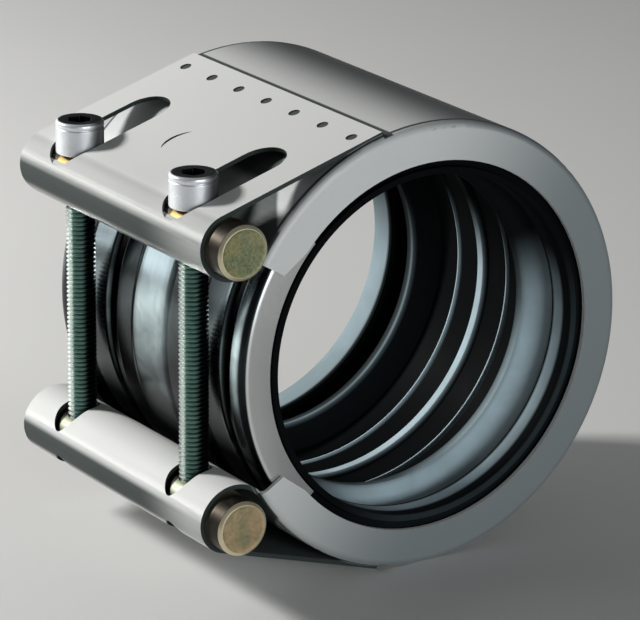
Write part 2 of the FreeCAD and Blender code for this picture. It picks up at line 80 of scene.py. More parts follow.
# Steps round the turned pieces; every second step of a head is a valley of its knurl
PLATE_STEPS = 360
SLEEVE_STEPS = 240
BAR_STEPS = 128
HOLE_STEPS = 64
KNURL_STEPS = 120
THREAD_STEPS = 36
# Points closer than the first are one point, and the second is the slack of a test of place
SAME_PLACE = 0.002 * MM
SLACK = 0.01 * MM


def length(name, description, millimetres):
    """Return a property that holds a length."""
    return bpy.props.FloatProperty(
        name=name, description=description, default=millimetres * MM, unit="LENGTH", precision=5)


def tint(name, description, tone):
    """Return a property that holds a colour."""
    return bpy.props.FloatVectorProperty(
        name=name, description=description, default=tone, size=3, subtype="COLOR")


class CouplingSizes(bpy.types.PropertyGroup):
    """Lengths of the pieces."""

    sheet_edge_break: length("Sheet edge break", "Width of the softened edge of the cut sheet", 0.14)
    bridge_sheet: length("Bridge sheet", "Thickness of the bridge plate", 0.8)
    bridge_corner: length("Bridge corner", "Outside radius where the bridge plate turns inwards", 2.3)
    bridge_flange: length("Bridge flange", "Radius of the free edge of the bridge plate", 49.2)
    bridge_span: bpy.props.IntProperty(
        name="Bridge span", description="Angle that the bridge plate covers, in degrees", default=88)
    crown_width: length("Crown", "Width of the raised middle band of the bridge plate", 15.0)
    terrace_drop: length("Terrace drop", "Step down beside the crown", 0.5)
    screw_band: length("Screw band", "Width of the sunken band that a screw passes", 10.2)
    screw_band_drop: length("Screw band drop", "Depth of the band that a screw passes", 1.2)
    groove_width: length("Groove width", "Floor of each pressed groove", 3.6)
    groove_drop: length("Groove drop", "Depth of the pressed grooves", 2.1)
    rib_slope: length("Rib slope", "Length of each pressed slope", 1.6)
    press_round: length("Pressed round", "Rounding of the pressed ribs and grooves", 0.6)
    fit_room: length("Fit", "Room between the sleeve and the bridge plate", 0.3)
    sleeve_wall: length("Sleeve wall", "Rubber between the recess and the channel", 2.9)
    sleeve_nose: length("Sleeve nose", "How far the sleeve reaches into the openings of the flanges", 1.6)
    sleeve_round: length("Moulded round", "Rounding of the sleeve's edges", 0.22)
    shoulder: length("Sleeve shoulder", "Width of the slope at the sleeve's outside corners", 1.0)
    lip_height: length("Lip height", "How far a sealing lip stands above the channel", 7.0)
    lip_place: length("Lip place", "Distance of a lip's crest from the middle", 26.4)
    lip_crest: length("Lip crest", "Width of a lip's crest", 2.6)
    lip_start: length("Lip start", "Distance of a lip's inner foot from the middle", 21.0)
    lip_end: length("Lip end", "Distance of a lip's outer foot from the middle", 34.6)
    bead_radius: length("Bead radius", "Inner radius of the end beads", 47.1)
    bead_width: length("Bead width", "Length of the end beads inside the casing", 7.2)
    middle_rib: length("Middle rib", "Height of the flat rib in the middle of the channel", 1.3)
    rib_spacing: length("Rib spacing", "Distance of a thin rib from the middle", 11.6)
    rib_height: length("Rib height", "Height of the thin ribs", 0.7)
    thread_pitch: length("Thread pitch", "Distance from one thread to the next", 1.25)
    thread_depth: length("Thread depth", "Height of the thread above its root", 0.68)
    screw_diameter: length("Screw diameter", "Outside of the thread", 8.0)
    head_height: length("Head height", "Height of the screw heads", 9.0)
    key_width: length("Key width", "Width across the flats of the socket", 6.0)
    key_depth: length("Key depth", "Depth of the socket", 4.5)
    bar_chamfer: length("Bar chamfer", "Chamfer at the ends of the bars", 0.9)
    head_seat: length("Head seat", "Height of a head's flat seat above the bar's axis", 6.6)
    seat_width: length("Seat width", "Diameter of a head's seat", 14.0)
    shank_room: length("Shank room", "Room round the screws in the upper bar", 0.5)
    thread_room: length("Thread room", "Room round the screws in the lower bar", 0.05)
    bend_start: bpy.props.FloatProperty(
        name="Bend start", description="Share of the radius where the casing starts to bend as it closes",
        default=0.3, subtype="FACTOR")
    bend_end: bpy.props.FloatProperty(
        name="Bend end", description="Share of the radius where the casing moves wholly with the lower bar",
        default=1.1, subtype="FACTOR")


class CouplingFinishes(bpy.types.PropertyGroup):
    """Colours of the materials."""

    steel: tint("Stainless sheet", "Colour of the casing and the bridge plate", (0.74, 0.755, 0.75))
    steel_shade: tint("Sheet shade", "Darker tone of the rolled grain", (0.60, 0.62, 0.625))
    steel_scratch: tint("Sheet scratches", "Colour of the scratches", (0.80, 0.81, 0.80))
    steel_haze: tint("Sheet haze", "Matt tone of the faces that look up", (0.69, 0.70, 0.69))
    # Painted shade on the front of the rolled edge round the upper bar
    steel_bend_shade: tint("Bend", "Tone of the rolled edge round the upper bar", (0.36, 0.37, 0.36))
    # Painted dark reflection along the top of the shell
    steel_reflection: tint("Sheet reflection", "Dark blue grey of the reflection over the shell", (0.075, 0.090, 0.100))
    # Painted shade on the ring flanges away from the lugs and on the shell under the return plates
    steel_ring_shade: tint("Ring shade", "Tone of the ring flanges away from the lugs", (0.24, 0.27, 0.28))
    # Painted shade in the spot weld pits, the corners, the steps and seams and under the rolled edges
    grime_and_shade: tint("Shade", "Colour of the spot welds, the corners and the steps", (0.055, 0.070, 0.068))
    rubber: tint("Rubber", "Colour of the sealing sleeve", (0.004, 0.0045, 0.005))
    # Painted sheen and highlights on the lips, beads and ribs of the rubber
    rubber_sheen: tint("Rubber bloom", "Blue grey bloom on lips, beads and ribs", (0.74, 0.95, 1.04))
    bar: tint("Yellow plating", "Main colour of the upper bar", (0.29, 0.25, 0.10))
    bar_bronze: tint("Bronze plating", "Main colour of the lower bar", (0.64, 0.42, 0.24))
    bar_green: tint("Green plating", "Greenish patches of the bars' plating", (0.12, 0.17, 0.085))
    bar_speck: tint("Plating specks", "Colour of the pale specks of the plating", (0.72, 0.66, 0.46))
    # Painted highlight on the rims of the bars' ends; the same colour also covers the bars' shafts
    bar_rim_highlight: tint("Bar rim", "Colour of the bright rims of the bars' ends", (0.86, 0.78, 0.56))
    bar_seat: tint("Seat plating", "Deeper yellow beside the screw heads", (0.15, 0.105, 0.03))
    bar_thread: tint("Hole plating", "Greyish green beside the threaded holes", (0.15, 0.165, 0.115))
    # Painted shade on the bars' shafts towards the near end and beside the screw holes
    bar_shaft_shade: tint("Darkened plating", "Colour of the bars' shafts beside their ends", (0.016, 0.012, 0.008))
    screw: tint("Bright plating", "Colour of the screw heads", (0.88, 0.91, 0.95))
    head_top: tint("Head top", "Colour of the dark tops of the heads", (0.035, 0.04, 0.045))
    thread: tint("Thread", "Colour of the threads", (0.20, 0.34, 0.30))
    # Painted highlight on the lit side of the threads
    thread_highlight: tint("Highlit thread", "Colour of the thread where it is bright", (0.88, 0.92, 0.88))
    # Painted shade on the side of the threads away from the light
    thread_shade: tint("Shadowed thread", "Colour of the thread where oil darkens it", (0.014, 0.024, 0.021))
    floor: tint("Floor", "Colour of the pale floor", (0.72, 0.72, 0.71))


class CouplingStage(bpy.types.PropertyGroup):
    """Camera and lamps."""

    azimuth: bpy.props.FloatProperty(
        name="Azimuth", description="Camera angle round the coupling, in degrees", default=56.57)
    elevation: bpy.props.FloatProperty(
        name="Elevation", description="Camera angle above the floor, in degrees", default=18.47)
    roll: bpy.props.FloatProperty(
        name="Roll", description="Turn of the camera about its own line of sight, in degrees", default=0.46)
    distance: bpy.props.FloatProperty(
        name="Distance", description="Camera distance from its target",
        default=1.157, unit="LENGTH")
    target: bpy.props.FloatVectorProperty(
        name="Target", description="Point that the camera looks at",
        default=(4.1 * MM, -5.6 * MM, -1.35 * MM), size=3, subtype="TRANSLATION")
    lens: bpy.props.FloatProperty(
        name="Lens", description="Focal length in millimetres on a 36 mm wide sensor", default=238.8)
    key_strength: bpy.props.FloatProperty(
        name="Key lamp", description="Power of the lamp that throws the shadows, in watts", default=8.5)
    side_strength: bpy.props.FloatProperty(
        name="Side lamp", description="Power of the wide lamp behind on the left, in watts", default=1.9)
    fill_strength: bpy.props.FloatProperty(
        name="Fill lamp", description="Power of the wide lamp beside the camera, in watts", default=4.7)
    air: bpy.props.FloatProperty(
        name="Surroundings", description="Brightness of the surroundings", default=0.09)


def clear_selection():
    """Leave edit mode with nothing selected."""
    active = bpy.context.view_layer.objects.active
    if active is not None and active.mode != "OBJECT":
        bpy.ops.object.mode_set(mode="OBJECT")
    bpy.ops.object.select_all(action="DESELECT")


def take(piece):
    """Make one piece the selected and active object."""
    clear_selection()
    piece.select_set(True)
    bpy.context.view_layer.objects.active = piece
    return piece


def named(name):
    """Name the object that an operator has just added."""
    piece = bpy.context.view_layer.objects.active
    piece.name = name
    piece.data.name = name
    return piece


def edit(piece, kind="FACE"):
    """Open a piece in edit mode with nothing selected."""
    take(piece)
    bpy.ops.object.mode_set(mode="EDIT")
    bpy.ops.mesh.select_mode(type=kind)
    bpy.ops.mesh.select_all(action="DESELECT")


def pick(kind, test):
    """Select the vertices, edges or faces that pass the test, and nothing else."""
    bpy.ops.mesh.select_mode(type=kind)
    bpy.ops.mesh.select_all(action="DESELECT")
    mesh = bpy.context.view_layer.objects.active.data
    model = bmesh.from_edit_mesh(mesh)
    found = {"VERT": model.verts, "EDGE": model.edges, "FACE": model.faces}[kind]
    for element in found:
        if test(element):
            element.select_set(True)
    model.select_flush_mode()
    bmesh.update_edit_mesh(mesh)


def middle(edge):
    """Return the middle of an edge."""
    return (edge.verts[0].co + edge.verts[1].co) / 2


def fold_angle(edge):
    """Return the angle between the two faces of an edge."""
    return edge.calc_face_angle(0.0)


def close_edit():
    """Turn the faces outwards and go back to object mode."""
    bpy.ops.mesh.select_all(action="SELECT")
    bpy.ops.mesh.normals_make_consistent(inside=False)
    bpy.ops.object.mode_set(mode="OBJECT")


def merge_close():
    """Merge the points that share a place."""
    bpy.ops.mesh.select_all(action="SELECT")
    bpy.ops.mesh.remove_doubles(threshold=SAME_PLACE)


def apply_modifier(piece, kind, **settings):
    """Add a modifier with these settings and apply it."""
    take(piece)
    bpy.ops.object.modifier_add(type=kind)
    modifier = piece.modifiers[-1]
    for setting, value in settings.items():
        setattr(modifier, setting, value)
    bpy.ops.object.modifier_apply(modifier=modifier.name)


def cut_away(piece, cutter):
    """Cut one closed shape out of another and delete the cutter."""
    apply_modifier(piece, "BOOLEAN", operation="DIFFERENCE", solver="EXACT", object=cutter)
    take(cutter)
    bpy.ops.object.delete()


def coat(piece, finishes):
    """Give the piece its material slots."""
    piece.data.materials.clear()
    for finish in finishes:
        piece.data.materials.append(finish)


def finish_piece(piece, node, smooth=35.0):
    """Apply the place, smooth the curved faces, and put the finished piece in the node's stead."""
    take(piece)
    bpy.ops.object.transform_apply(location=True, rotation=True, scale=True)
    bpy.ops.object.shade_smooth_by_angle(angle=math.radians(smooth))
    apply_modifier(piece, "WEIGHTED_NORMAL", mode="FACE_AREA", keep_sharp=True)
    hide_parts(node)


def add_rod(name, steps, radius, depth, centre, lying=False):
    """Add a rod, upright or lying along the X axis, with its place in its mesh."""
    clear_selection()
    bpy.ops.mesh.primitive_cylinder_add(
        vertices=steps, radius=radius, depth=depth, location=centre,
        rotation=(0, math.pi / 2 if lying else 0, 0))
    rod = named(name)
    bpy.ops.object.transform_apply(location=True, rotation=True, scale=True)
    return rod


def turn_rings(name, stations, steps):
    """Start with a ring about the X axis, and extrude, move and resize it from station to station."""
    place, radius = stations[0]
    bpy.ops.mesh.primitive_circle_add(
        vertices=steps, radius=radius, location=(place, 0, 0), rotation=(0, math.pi / 2, 0))
    piece = named(name)
    bpy.ops.object.transform_apply(location=True, rotation=True, scale=True)
    bpy.ops.object.mode_set(mode="EDIT")
    bpy.ops.mesh.select_mode(type="EDGE")
    bpy.ops.mesh.select_all(action="SELECT")
    for station, last in zip(stations[1:], stations):
        growth = station[1] / last[1]
        bpy.ops.mesh.extrude_region_move(TRANSFORM_OT_translate={"value": (station[0] - last[0], 0, 0)})
        bpy.ops.transform.resize(value=(1, growth, growth), center_override=(station[0], 0, 0))
    return piece


def both_halves(stations):
    """Return the stations of both halves, from the far end to the near one."""
    return [(-place, radius) for place, radius in reversed(stations)] + stations[1:]


def feed(tree, socket, value):
    """Link a socket to another one, or set its value; a colour may come without its alpha."""
    if isinstance(value, bpy.types.NodeSocket):
        tree.links.new(value, socket)
    elif socket.type == "RGBA":
        socket.default_value = (*value[:3], 1)
    else:
        socket.default_value = value


def add_node(tree, kind, **inputs):
    """Add a shader node and feed its inputs by name."""
    node = tree.nodes.new(kind)
    for name, value in inputs.items():
        feed(tree, node.inputs[name.replace("_", " ")], value)
    return node


def add_group(tree, group, **inputs):
    """Place a node group, feed its inputs by name and return its outputs."""
    node = tree.nodes.new("ShaderNodeGroup")
    node.node_tree = group
    for name, value in inputs.items():
        feed(tree, node.inputs[name.replace("_", " ")], value)
    return node.outputs


def add_math(tree, operation, *values, clamp=False):
    """Add a Math node fed by sockets or numbers and return its value."""
    node = tree.nodes.new("ShaderNodeMath")
    node.operation = operation
    node.use_clamp = clamp
    for socket, value in zip(node.inputs, values):
        feed(tree, socket, value)
    return node.outputs[0]


def add_vector_math(tree, operation, *values):
    """Add a Vector Math node fed by sockets or vectors and return its outputs."""
    node = tree.nodes.new("ShaderNodeVectorMath")
    node.operation = operation
    for socket, value in zip(node.inputs, values):
        feed(tree, socket, value)
    return node.outputs


# A Mix node has its sockets once for each kind of value; these are the factor and the two colours
MIX_COLOUR_INPUTS = (0, 6, 7)
MIX_COLOUR_OUTPUT = 2


def add_mix(tree, share, first, second, blend="MIX"):
    """Add a colour mix fed by sockets or colours and return its colour."""
    node = tree.nodes.new("ShaderNodeMix")
    node.data_type = "RGBA"
    node.blend_type = blend
    for place, value in zip(MIX_COLOUR_INPUTS, (share, first, second)):
        feed(tree, node.inputs[place], value)
    return node.outputs[MIX_COLOUR_OUTPUT]


def parted(tree, vector):
    """Split a vector into its three numbers."""
    node = add_node(tree, "ShaderNodeSeparateXYZ", Vector=vector)
    return node.outputs["X"], node.outputs["Y"], node.outputs["Z"]


def scaled(tree, noise, low, high):
    """Spread the usual range of a noise from low to high."""
    node = add_node(
        tree, "ShaderNodeMapRange", Value=noise, From_Min=0.3, From_Max=0.7, To_Min=low, To_Max=high)
    return node.outputs["Result"]


def rise(tree, value, low, high):
    """Go smoothly from 0 at low to 1 at high; low may be the larger."""
    node = add_node(tree, "ShaderNodeMapRange", Value=value, From_Min=low, From_Max=high)
    node.interpolation_type = "SMOOTHSTEP"
    return node.outputs["Result"]


def all_of(tree, first, *others):
    """Multiply masks."""
    for other in others:
        first = add_math(tree, "MULTIPLY", first, other)
    return first


def any_of(tree, first, *others):
    """Keep the strongest of the masks."""
    for other in others:
        first = add_math(tree, "MAXIMUM", first, other, clamp=True)
    return first


def arrange(tree):
    """Lay the nodes out in columns, each node to the left of the ones that it feeds."""
    column = {node.name: 0 for node in tree.nodes}
    for _ in tree.nodes:
        for link in tree.links:
            ahead = column[link.to_node.name]
            column[link.from_node.name] = max(column[link.from_node.name], ahead + 1)
    filled = {}
    for node in tree.nodes:
        place = column[node.name]
        filled[place] = filled.get(place, 0) + 1
        node.location = (-220 * place, -180 * filled[place])


def new_group(name, inputs, outputs):
    """Start a shader node group, and return it with the sockets that it is given and that it fills."""
    tree = bpy.data.node_groups.new(name, "ShaderNodeTree")
    for label, kind, value in inputs:
        socket = tree.interface.new_socket(label, in_out="INPUT", socket_type="NodeSocket" + kind)
        if value is not None:
            socket.default_value = value
    for label in outputs:
        tree.interface.new_socket(label, in_out="OUTPUT", socket_type="NodeSocketFloat")
    entry = tree.nodes.new("NodeGroupInput")
    leave = tree.nodes.new("NodeGroupOutput")
    return tree, entry.outputs, leave.inputs


def fill_group(tree, results, values):
    """Feed the results of a group and lay out its nodes."""
    for label, value in values.items():
        feed(tree, results[label], value)
    arrange(tree)
    return tree


def grain_group():
    """Long fine lines along one direction, as rolling and brushing leave them."""
    known = bpy.data.node_groups.get("Rolled grain")
    if known:
        return known
    tree, given, results = new_group(
        "Rolled grain",
        (("Vector", "Vector", None), ("Stretch", "Vector", (60.0, 2500.0, 2500.0)),
         ("Cloud size", "Float", 40.0)),
        ("Lines", "Clouds"))
    spread = add_vector_math(tree, "MULTIPLY", given["Vector"], given["Stretch"])[0]
    lines = add_node(tree, "ShaderNodeTexNoise", Vector=spread, Scale=1.0, Detail=4.0, Roughness=0.6)
    clouds = add_node(
        tree, "ShaderNodeTexNoise", Vector=given["Vector"], Scale=given["Cloud size"], Detail=3.0,
        Roughness=0.55, Distortion=0.4)
    return fill_group(tree, results, {"Lines": lines.outputs["Fac"], "Clouds": clouds.outputs["Fac"]})


def scratch_group():
    """Sparse thin scratches in crossing directions, as handling leaves them."""
    known = bpy.data.node_groups.get("Handling scratches")
    if known:
        return known
    tree, given, results = new_group(
        "Handling scratches",
        (("Vector", "Vector", None), ("Scale", "Float", 120.0), ("Amount", "Float", 0.5)), ("Mask",))
    line_width = 0.004
    lines = []
    for turn in ((0.3, 0.5, 0.9), (1.2, -0.4, 2.1)):
        turned = add_node(
            tree, "ShaderNodeMapping", Vector=given["Vector"], Rotation=turn, Scale=(14.0, 0.7, 3.0))
        noise = add_node(
            tree, "ShaderNodeTexNoise", Vector=turned.outputs["Vector"], Scale=given["Scale"], Detail=1.0)
        off_line = add_math(tree, "SUBTRACT", noise.outputs["Fac"], 0.5)
        lines.append(add_math(tree, "LESS_THAN", add_math(tree, "ABSOLUTE", off_line), line_width))
    patches = add_node(tree, "ShaderNodeTexNoise", Vector=given["Vector"], Scale=90.0, Detail=1.0)
    where = add_math(tree, "GREATER_THAN", patches.outputs["Fac"], 0.52)
    return fill_group(tree, results, {"Mask": all_of(tree, any_of(tree, *lines), where, given["Amount"])})


def turning_group():
    """Fine rings about the X axis through a centre, as a lathe tool leaves them."""
    known = bpy.data.node_groups.get("Turned rings")
    if known:
        return known
    tree, given, results = new_group(
        "Turned rings",
        (("Vector", "Vector", None), ("Centre", "Vector", (0.0, 0.0, 0.0)), ("Fineness", "Float", 9000.0)),
        ("Rings", "Radius"))
    offset = add_vector_math(tree, "SUBTRACT", given["Vector"], given["Centre"])[0]
    flat = add_vector_math(tree, "MULTIPLY", offset, (0.0, 1.0, 1.0))[0]
    radius = add_vector_math(tree, "LENGTH", flat)["Value"]
    wave = add_math(tree, "SINE", add_math(tree, "MULTIPLY", radius, given["Fineness"]))
    return fill_group(tree, results, {"Rings": wave, "Radius": radius})


def read_surface(tree, given):
    """Measure where a point of the sheet lies and which way it faces."""
    here = SimpleNamespace()
    here.x, here.y, here.z = parted(tree, given["Vector"])
    here.across, here.ahead, here.upward = parted(tree, given["Normal"])
    here.off_middle = add_math(tree, "ABSOLUTE", here.x)
    here.height = add_math(tree, "ABSOLUTE", here.z)
    here.sideways = add_math(tree, "ABSOLUTE", here.across)
    radius = add_group(tree, turning_group(), Vector=given["Vector"])["Radius"]
    here.lug = rise(tree, radius, SHELL_RADIUS + 0.2 * MM, SHELL_RADIUS + 0.5 * MM)
    here.shell = rise(tree, radius, SHELL_RADIUS + 0.5 * MM, SHELL_RADIUS + 0.2 * MM)
    outside = rise(tree, radius, SHELL_RADIUS - 0.6 * MM, SHELL_RADIUS - 0.3 * MM)
    here.outer_shell = all_of(tree, here.shell, outside)
    behind_plate = rise(tree, here.y, -21 * MM, -23 * MM)
    here.covered = all_of(tree, here.outer_shell, behind_plate)
    return here


def haze_mask(tree, here):
    """Return the matt haze: lug faces that look up, the shell under the plates and the ring flanges."""
    matt = all_of(
        tree, here.shell, rise(tree, here.ahead, 0.30, -0.25), rise(tree, here.upward, 0.8, 0.95))
    flange = all_of(
        tree, here.shell, rise(tree, here.off_middle, SHELL_END - 2.4 * MM, SHELL_END - 1.8 * MM))
    dull = add_math(tree, "MULTIPLY", any_of(tree, matt, here.covered, flange), 0.75)
    below_gap = rise(tree, here.z, 0.0, -1 * MM)
    lugs = all_of(tree, any_of(tree, here.lug, below_gap), rise(tree, here.upward, 0.12, 0.60))
    return add_math(tree, "ADD", lugs, dull, clamp=True)


def reflection_mask(tree, here):
    """Return the painted dark reflection along the top of the shell."""
    return all_of(
        tree, here.shell, rise(tree, here.ahead, -0.18, 0.48), rise(tree, here.ahead, 0.9, 0.6),
        rise(tree, here.upward, 0.0, 0.3), rise(tree, here.z, 0.0, 1 * MM))


def ring_mask(tree, here):
    """Return the painted shade of the ring flanges, which grows away from the lugs, with half of it on the
    shell under the return plates.
    """
    slant = add_math(tree, "SUBTRACT", here.y, add_math(tree, "MULTIPLY", here.z, 0.6))
    flange = all_of(
        tree, here.shell, rise(tree, here.sideways, 0.3, 0.8), rise(tree, slant, -45 * MM, 30 * MM))
    return any_of(tree, flange, add_math(tree, "MULTIPLY", here.covered, 0.5))


def bend_shade_mask(tree, here):
    """Return the painted shade on the front of the rolled edge round the upper bar."""
    return all_of(
        tree, here.lug, rise(tree, here.ahead, -0.30, -0.55), rise(tree, here.z, 0.0, 1 * MM))


def weld_pit_shade(tree, here):
    """Return the painted shade below the face of the return plates: in the spot weld pits and inside the
    upper lug.
    """
    rise_of_plate, run_of_plate, face = 0.957, -0.29, SHELL_RADIUS + 1.0 * MM
    level = add_math(
        tree, "ADD", add_math(tree, "MULTIPLY", here.height, rise_of_plate),
        add_math(tree, "MULTIPLY", here.y, run_of_plate))
    near_face = rise(tree, level, face - 4.5 * MM, face - 2.5 * MM)
    wanted = any_of(tree, rise(tree, here.z, -1 * MM, 0.0), near_face)
    return all_of(
        tree, here.lug, wanted, rise(tree, level, face - 0.08 * MM, face - 0.28 * MM),
        rise(tree, here.y, -63.9 * MM, -63.6 * MM), rise(tree, here.y, -14.2 * MM, -15.2 * MM))


def fold_corner_shade(tree, here):
    """Return the painted shade in the corner between the shell and the fold at the near end, with the light
    window in it left out.
    """
    corner = add_math(tree, "ADD", here.x, add_math(tree, "MULTIPLY", here.height, 1.55))
    window = all_of(
        tree, rise(tree, here.x, 32 * MM, 28 * MM), rise(tree, here.height, 48 * MM, 45.5 * MM))
    return all_of(
        tree, here.covered, rise(tree, corner, 109.5 * MM, 107.5 * MM), rise(tree, here.x, -5 * MM, 12 * MM),
        add_math(tree, "SUBTRACT", 1.0, window))


def step_line_shade(tree, here):
    """Return the thin lines of painted shade: the step behind the return plates and the seams beside the
    ring flanges.
    """
    step = all_of(
        tree, here.outer_shell, rise(tree, here.y, -14.9 * MM, -14.5 * MM),
        rise(tree, here.y, -11.7 * MM, -12.3 * MM))
    seam = all_of(
        tree, here.outer_shell, rise(tree, here.off_middle, SHELL_END - 2.9 * MM, SHELL_END - 2.5 * MM),
        rise(tree, here.off_middle, SHELL_END - 1.4 * MM, SHELL_END - 1.9 * MM),
        rise(tree, here.ahead, 0.7, 0.5))
    return any_of(tree, step, seam)


def lug_underside_shade(tree, here):
    """Return the painted shade on the undersides of the rolled edges, paler at the near end, and on the
    sheet's cut ends.
    """
    fade = add_math(tree, "MULTIPLY", rise(tree, here.x, 15 * MM, 44 * MM), -0.65)
    underside = all_of(
        tree, here.lug, add_math(tree, "ADD", fade, 0.95), rise(tree, here.upward, 0.30, 0.08),
        rise(tree, here.upward, -0.75, -0.45), rise(tree, here.ahead, -0.3, -0.5))
    ends = all_of(tree, here.lug, rise(tree, here.sideways, 0.6, 0.9))
    return any_of(tree, underside, ends)


def zones_group():
    """Where the folded sheet is hazed and where painted dark reflection and painted shade lie, from its
    place and the way it faces.
    """
    known = bpy.data.node_groups.get("Sheet zones")
    if known:
        return known
    tree, given, results = new_group(
        "Sheet zones", (("Vector", "Vector", None), ("Normal", "Vector", None)),
        ("Haze", "Streak", "Ring", "Shade", "Curve"))
    here = read_surface(tree, given)
    shade_terms = [mask(tree, here) for mask in (weld_pit_shade, fold_corner_shade, step_line_shade, lug_underside_shade)]
    return fill_group(tree, results, {
        "Haze": haze_mask(tree, here), "Streak": reflection_mask(tree, here), "Ring": ring_mask(tree, here),
        "Curve": bend_shade_mask(tree, here), "Shade": any_of(tree, *shade_terms)})


def start_material(name, colour, metallic, roughness):
    """Start a material with its shader and the piece's own coordinates."""
    made = bpy.data.materials.new(name)
    made.use_nodes = True
    made.diffuse_color = (*colour, 1)
    made.metallic = metallic
    made.roughness = roughness
    tree = made.node_tree
    shader = tree.nodes["Principled BSDF"].inputs
    feed(tree, shader["Base Color"], colour)
    feed(tree, shader["Metallic"], metallic)
    feed(tree, shader["Roughness"], roughness)
    where = tree.nodes.new("ShaderNodeTexCoord").outputs
    return made, tree, shader, where


def add_bump(tree, shader, height, strength, depth):
    """Feed a height to the shader's normal."""
    node = add_node(tree, "ShaderNodeBump", Strength=strength, Distance=depth, Height=height)
    feed(tree, shader["Normal"], node.outputs["Normal"])


def start_sheet(name, finishes, stretch, metallic, roughness):
    """Start the stainless sheet: rolled grain, cloudy tone and faint scratches."""
    made, tree, shader, where = start_material(name, finishes.steel, metallic, roughness)
    grain = add_group(tree, grain_group(), Vector=where["Object"], Stretch=stretch, Cloud_size=22.0)
    scratches = add_group(tree, scratch_group(), Vector=where["Object"], Scale=130.0, Amount=0.3)
    cloudy = scaled(tree, grain["Clouds"], 0.0, 0.55)
    lined = scaled(tree, grain["Lines"], 0.0, 0.45)
    share = add_math(tree, "ADD", cloudy, lined, clamp=True)
    colour = add_mix(tree, share, finishes.steel, finishes.steel_shade)
    colour = add_mix(tree, scratches["Mask"], colour, finishes.steel_scratch)
    swing = 0.03
    cloudy = scaled(tree, grain["Clouds"], roughness - swing, roughness + swing)
    lined = scaled(tree, grain["Lines"], -swing, swing)
    rough = add_math(tree, "ADD", cloudy, lined)
    add_bump(tree, shader, grain["Lines"], strength=0.12, depth=0.02 * MM)
    return made, tree, shader, where, colour, rough


def casing_material(finishes):
    """Satin sheet with matt haze on the folds, painted dark reflection over the shell, and painted shade on
    the ring flanges, the rolled edges and in the corners.
    """
    metallic, hazed_metallic, roughness, hazed_roughness, shade_roughness = 0.92, 0.02, 0.31, 0.71, 0.66
    made, tree, shader, where, colour, rough = start_sheet(
        "satin_sheet", finishes, (60.0, 1800.0, 1800.0), metallic, roughness)
    zones = add_group(tree, zones_group(), Vector=where["Object"], Normal=where["Normal"])
    # Painted shade on the front of the rolled edge, at three quarters of its mask
    bend_shade = add_math(tree, "MULTIPLY", zones["Curve"], 0.75)
    # Layers: matt haze, then painted shade on the rolled edge, painted dark reflection over the shell,
    # painted shade on the ring flanges and painted shade in the corners
    for share, layer in (
        (zones["Haze"], finishes.steel_haze),
        (bend_shade, finishes.steel_bend_shade),
        (zones["Streak"], finishes.steel_reflection),
        (zones["Ring"], finishes.steel_ring_shade),
        (zones["Shade"], finishes.grime_and_shade),
    ):
        colour = add_mix(tree, share, colour, layer)
    feed(tree, shader["Base Color"], colour)
    duller = add_math(tree, "MULTIPLY", zones["Haze"], hazed_metallic - metallic)
    feed(tree, shader["Metallic"], add_math(tree, "ADD", duller, metallic))
    hazed = add_math(tree, "MULTIPLY", zones["Haze"], hazed_roughness - roughness)
    # The painted shade also roughens the sheet, to dull its highlights there
    shade_terms = add_math(tree, "MULTIPLY", zones["Shade"], shade_roughness - roughness)
    feed(tree, shader["Roughness"], add_math(tree, "ADD", rough, add_math(tree, "MAXIMUM", hazed, shade_terms)))
    arrange(tree)
    return made


def tone_ramp(tree, value, stops, tone):
    """Colour a length by stops of place in millimetres and brightness."""
    low, high = stops[0][0], stops[-1][0]
    share = add_node(tree, "ShaderNodeMapRange", Value=value, From_Min=low * MM, From_Max=high * MM)
    ramp = add_node(tree, "ShaderNodeValToRGB", Fac=share.outputs["Result"])
    elements = ramp.color_ramp.elements
    elements[0].position = 0.0
    elements[1].position = 1.0
    for where, brightness in stops[1:-1]:
        elements.new((where - low) / (high - low))
    for element, (where, brightness) in zip(elements, stops):
        element.color = (*(brightness * channel for channel in tone), 1)
    return ramp.outputs["Color"]


# Each pair is a place along the bore in millimetres and the brightness of the pressed sheet there, painted
# shade in the grooves and painted highlights on the bands
BRIDGE_LIGHT_TONES = (
    (-48.0, 0.60), (-44.8, 0.55), (-44.0, 0.10), (-36.0, 0.08), (-34.0, 0.75), (-24.9, 0.80),
    (-23.2, 0.50), (-22.4, 0.012), (-18.2, 0.012), (-17.4, 0.40), (-16.6, 0.14), (-7.4, 0.12),
    (-6.8, 0.70), (-5.4, 1.20), (4.5, 1.15), (7.6, 0.60), (9.0, 0.13), (16.0, 0.10), (17.5, 0.55),
    (19.0, 0.05), (23.0, 0.05), (32.5, 0.25), (33.8, 0.90), (35.0, 0.012), (39.6, 0.012), (40.6, 0.75),
    (43.6, 1.20), (44.6, 0.70), (45.4, 0.05), (46.8, 0.06), (48.0, 0.60))
# The same from the lower lug to the upper one: painted dark reflection that fades towards the upper lug
LOWER_REFLECTION_TONES = ((-30.0, 0.05), (-18.0, 0.08), (-6.0, 0.22), (6.0, 0.50), (18.0, 1.0), (30.0, 1.0))


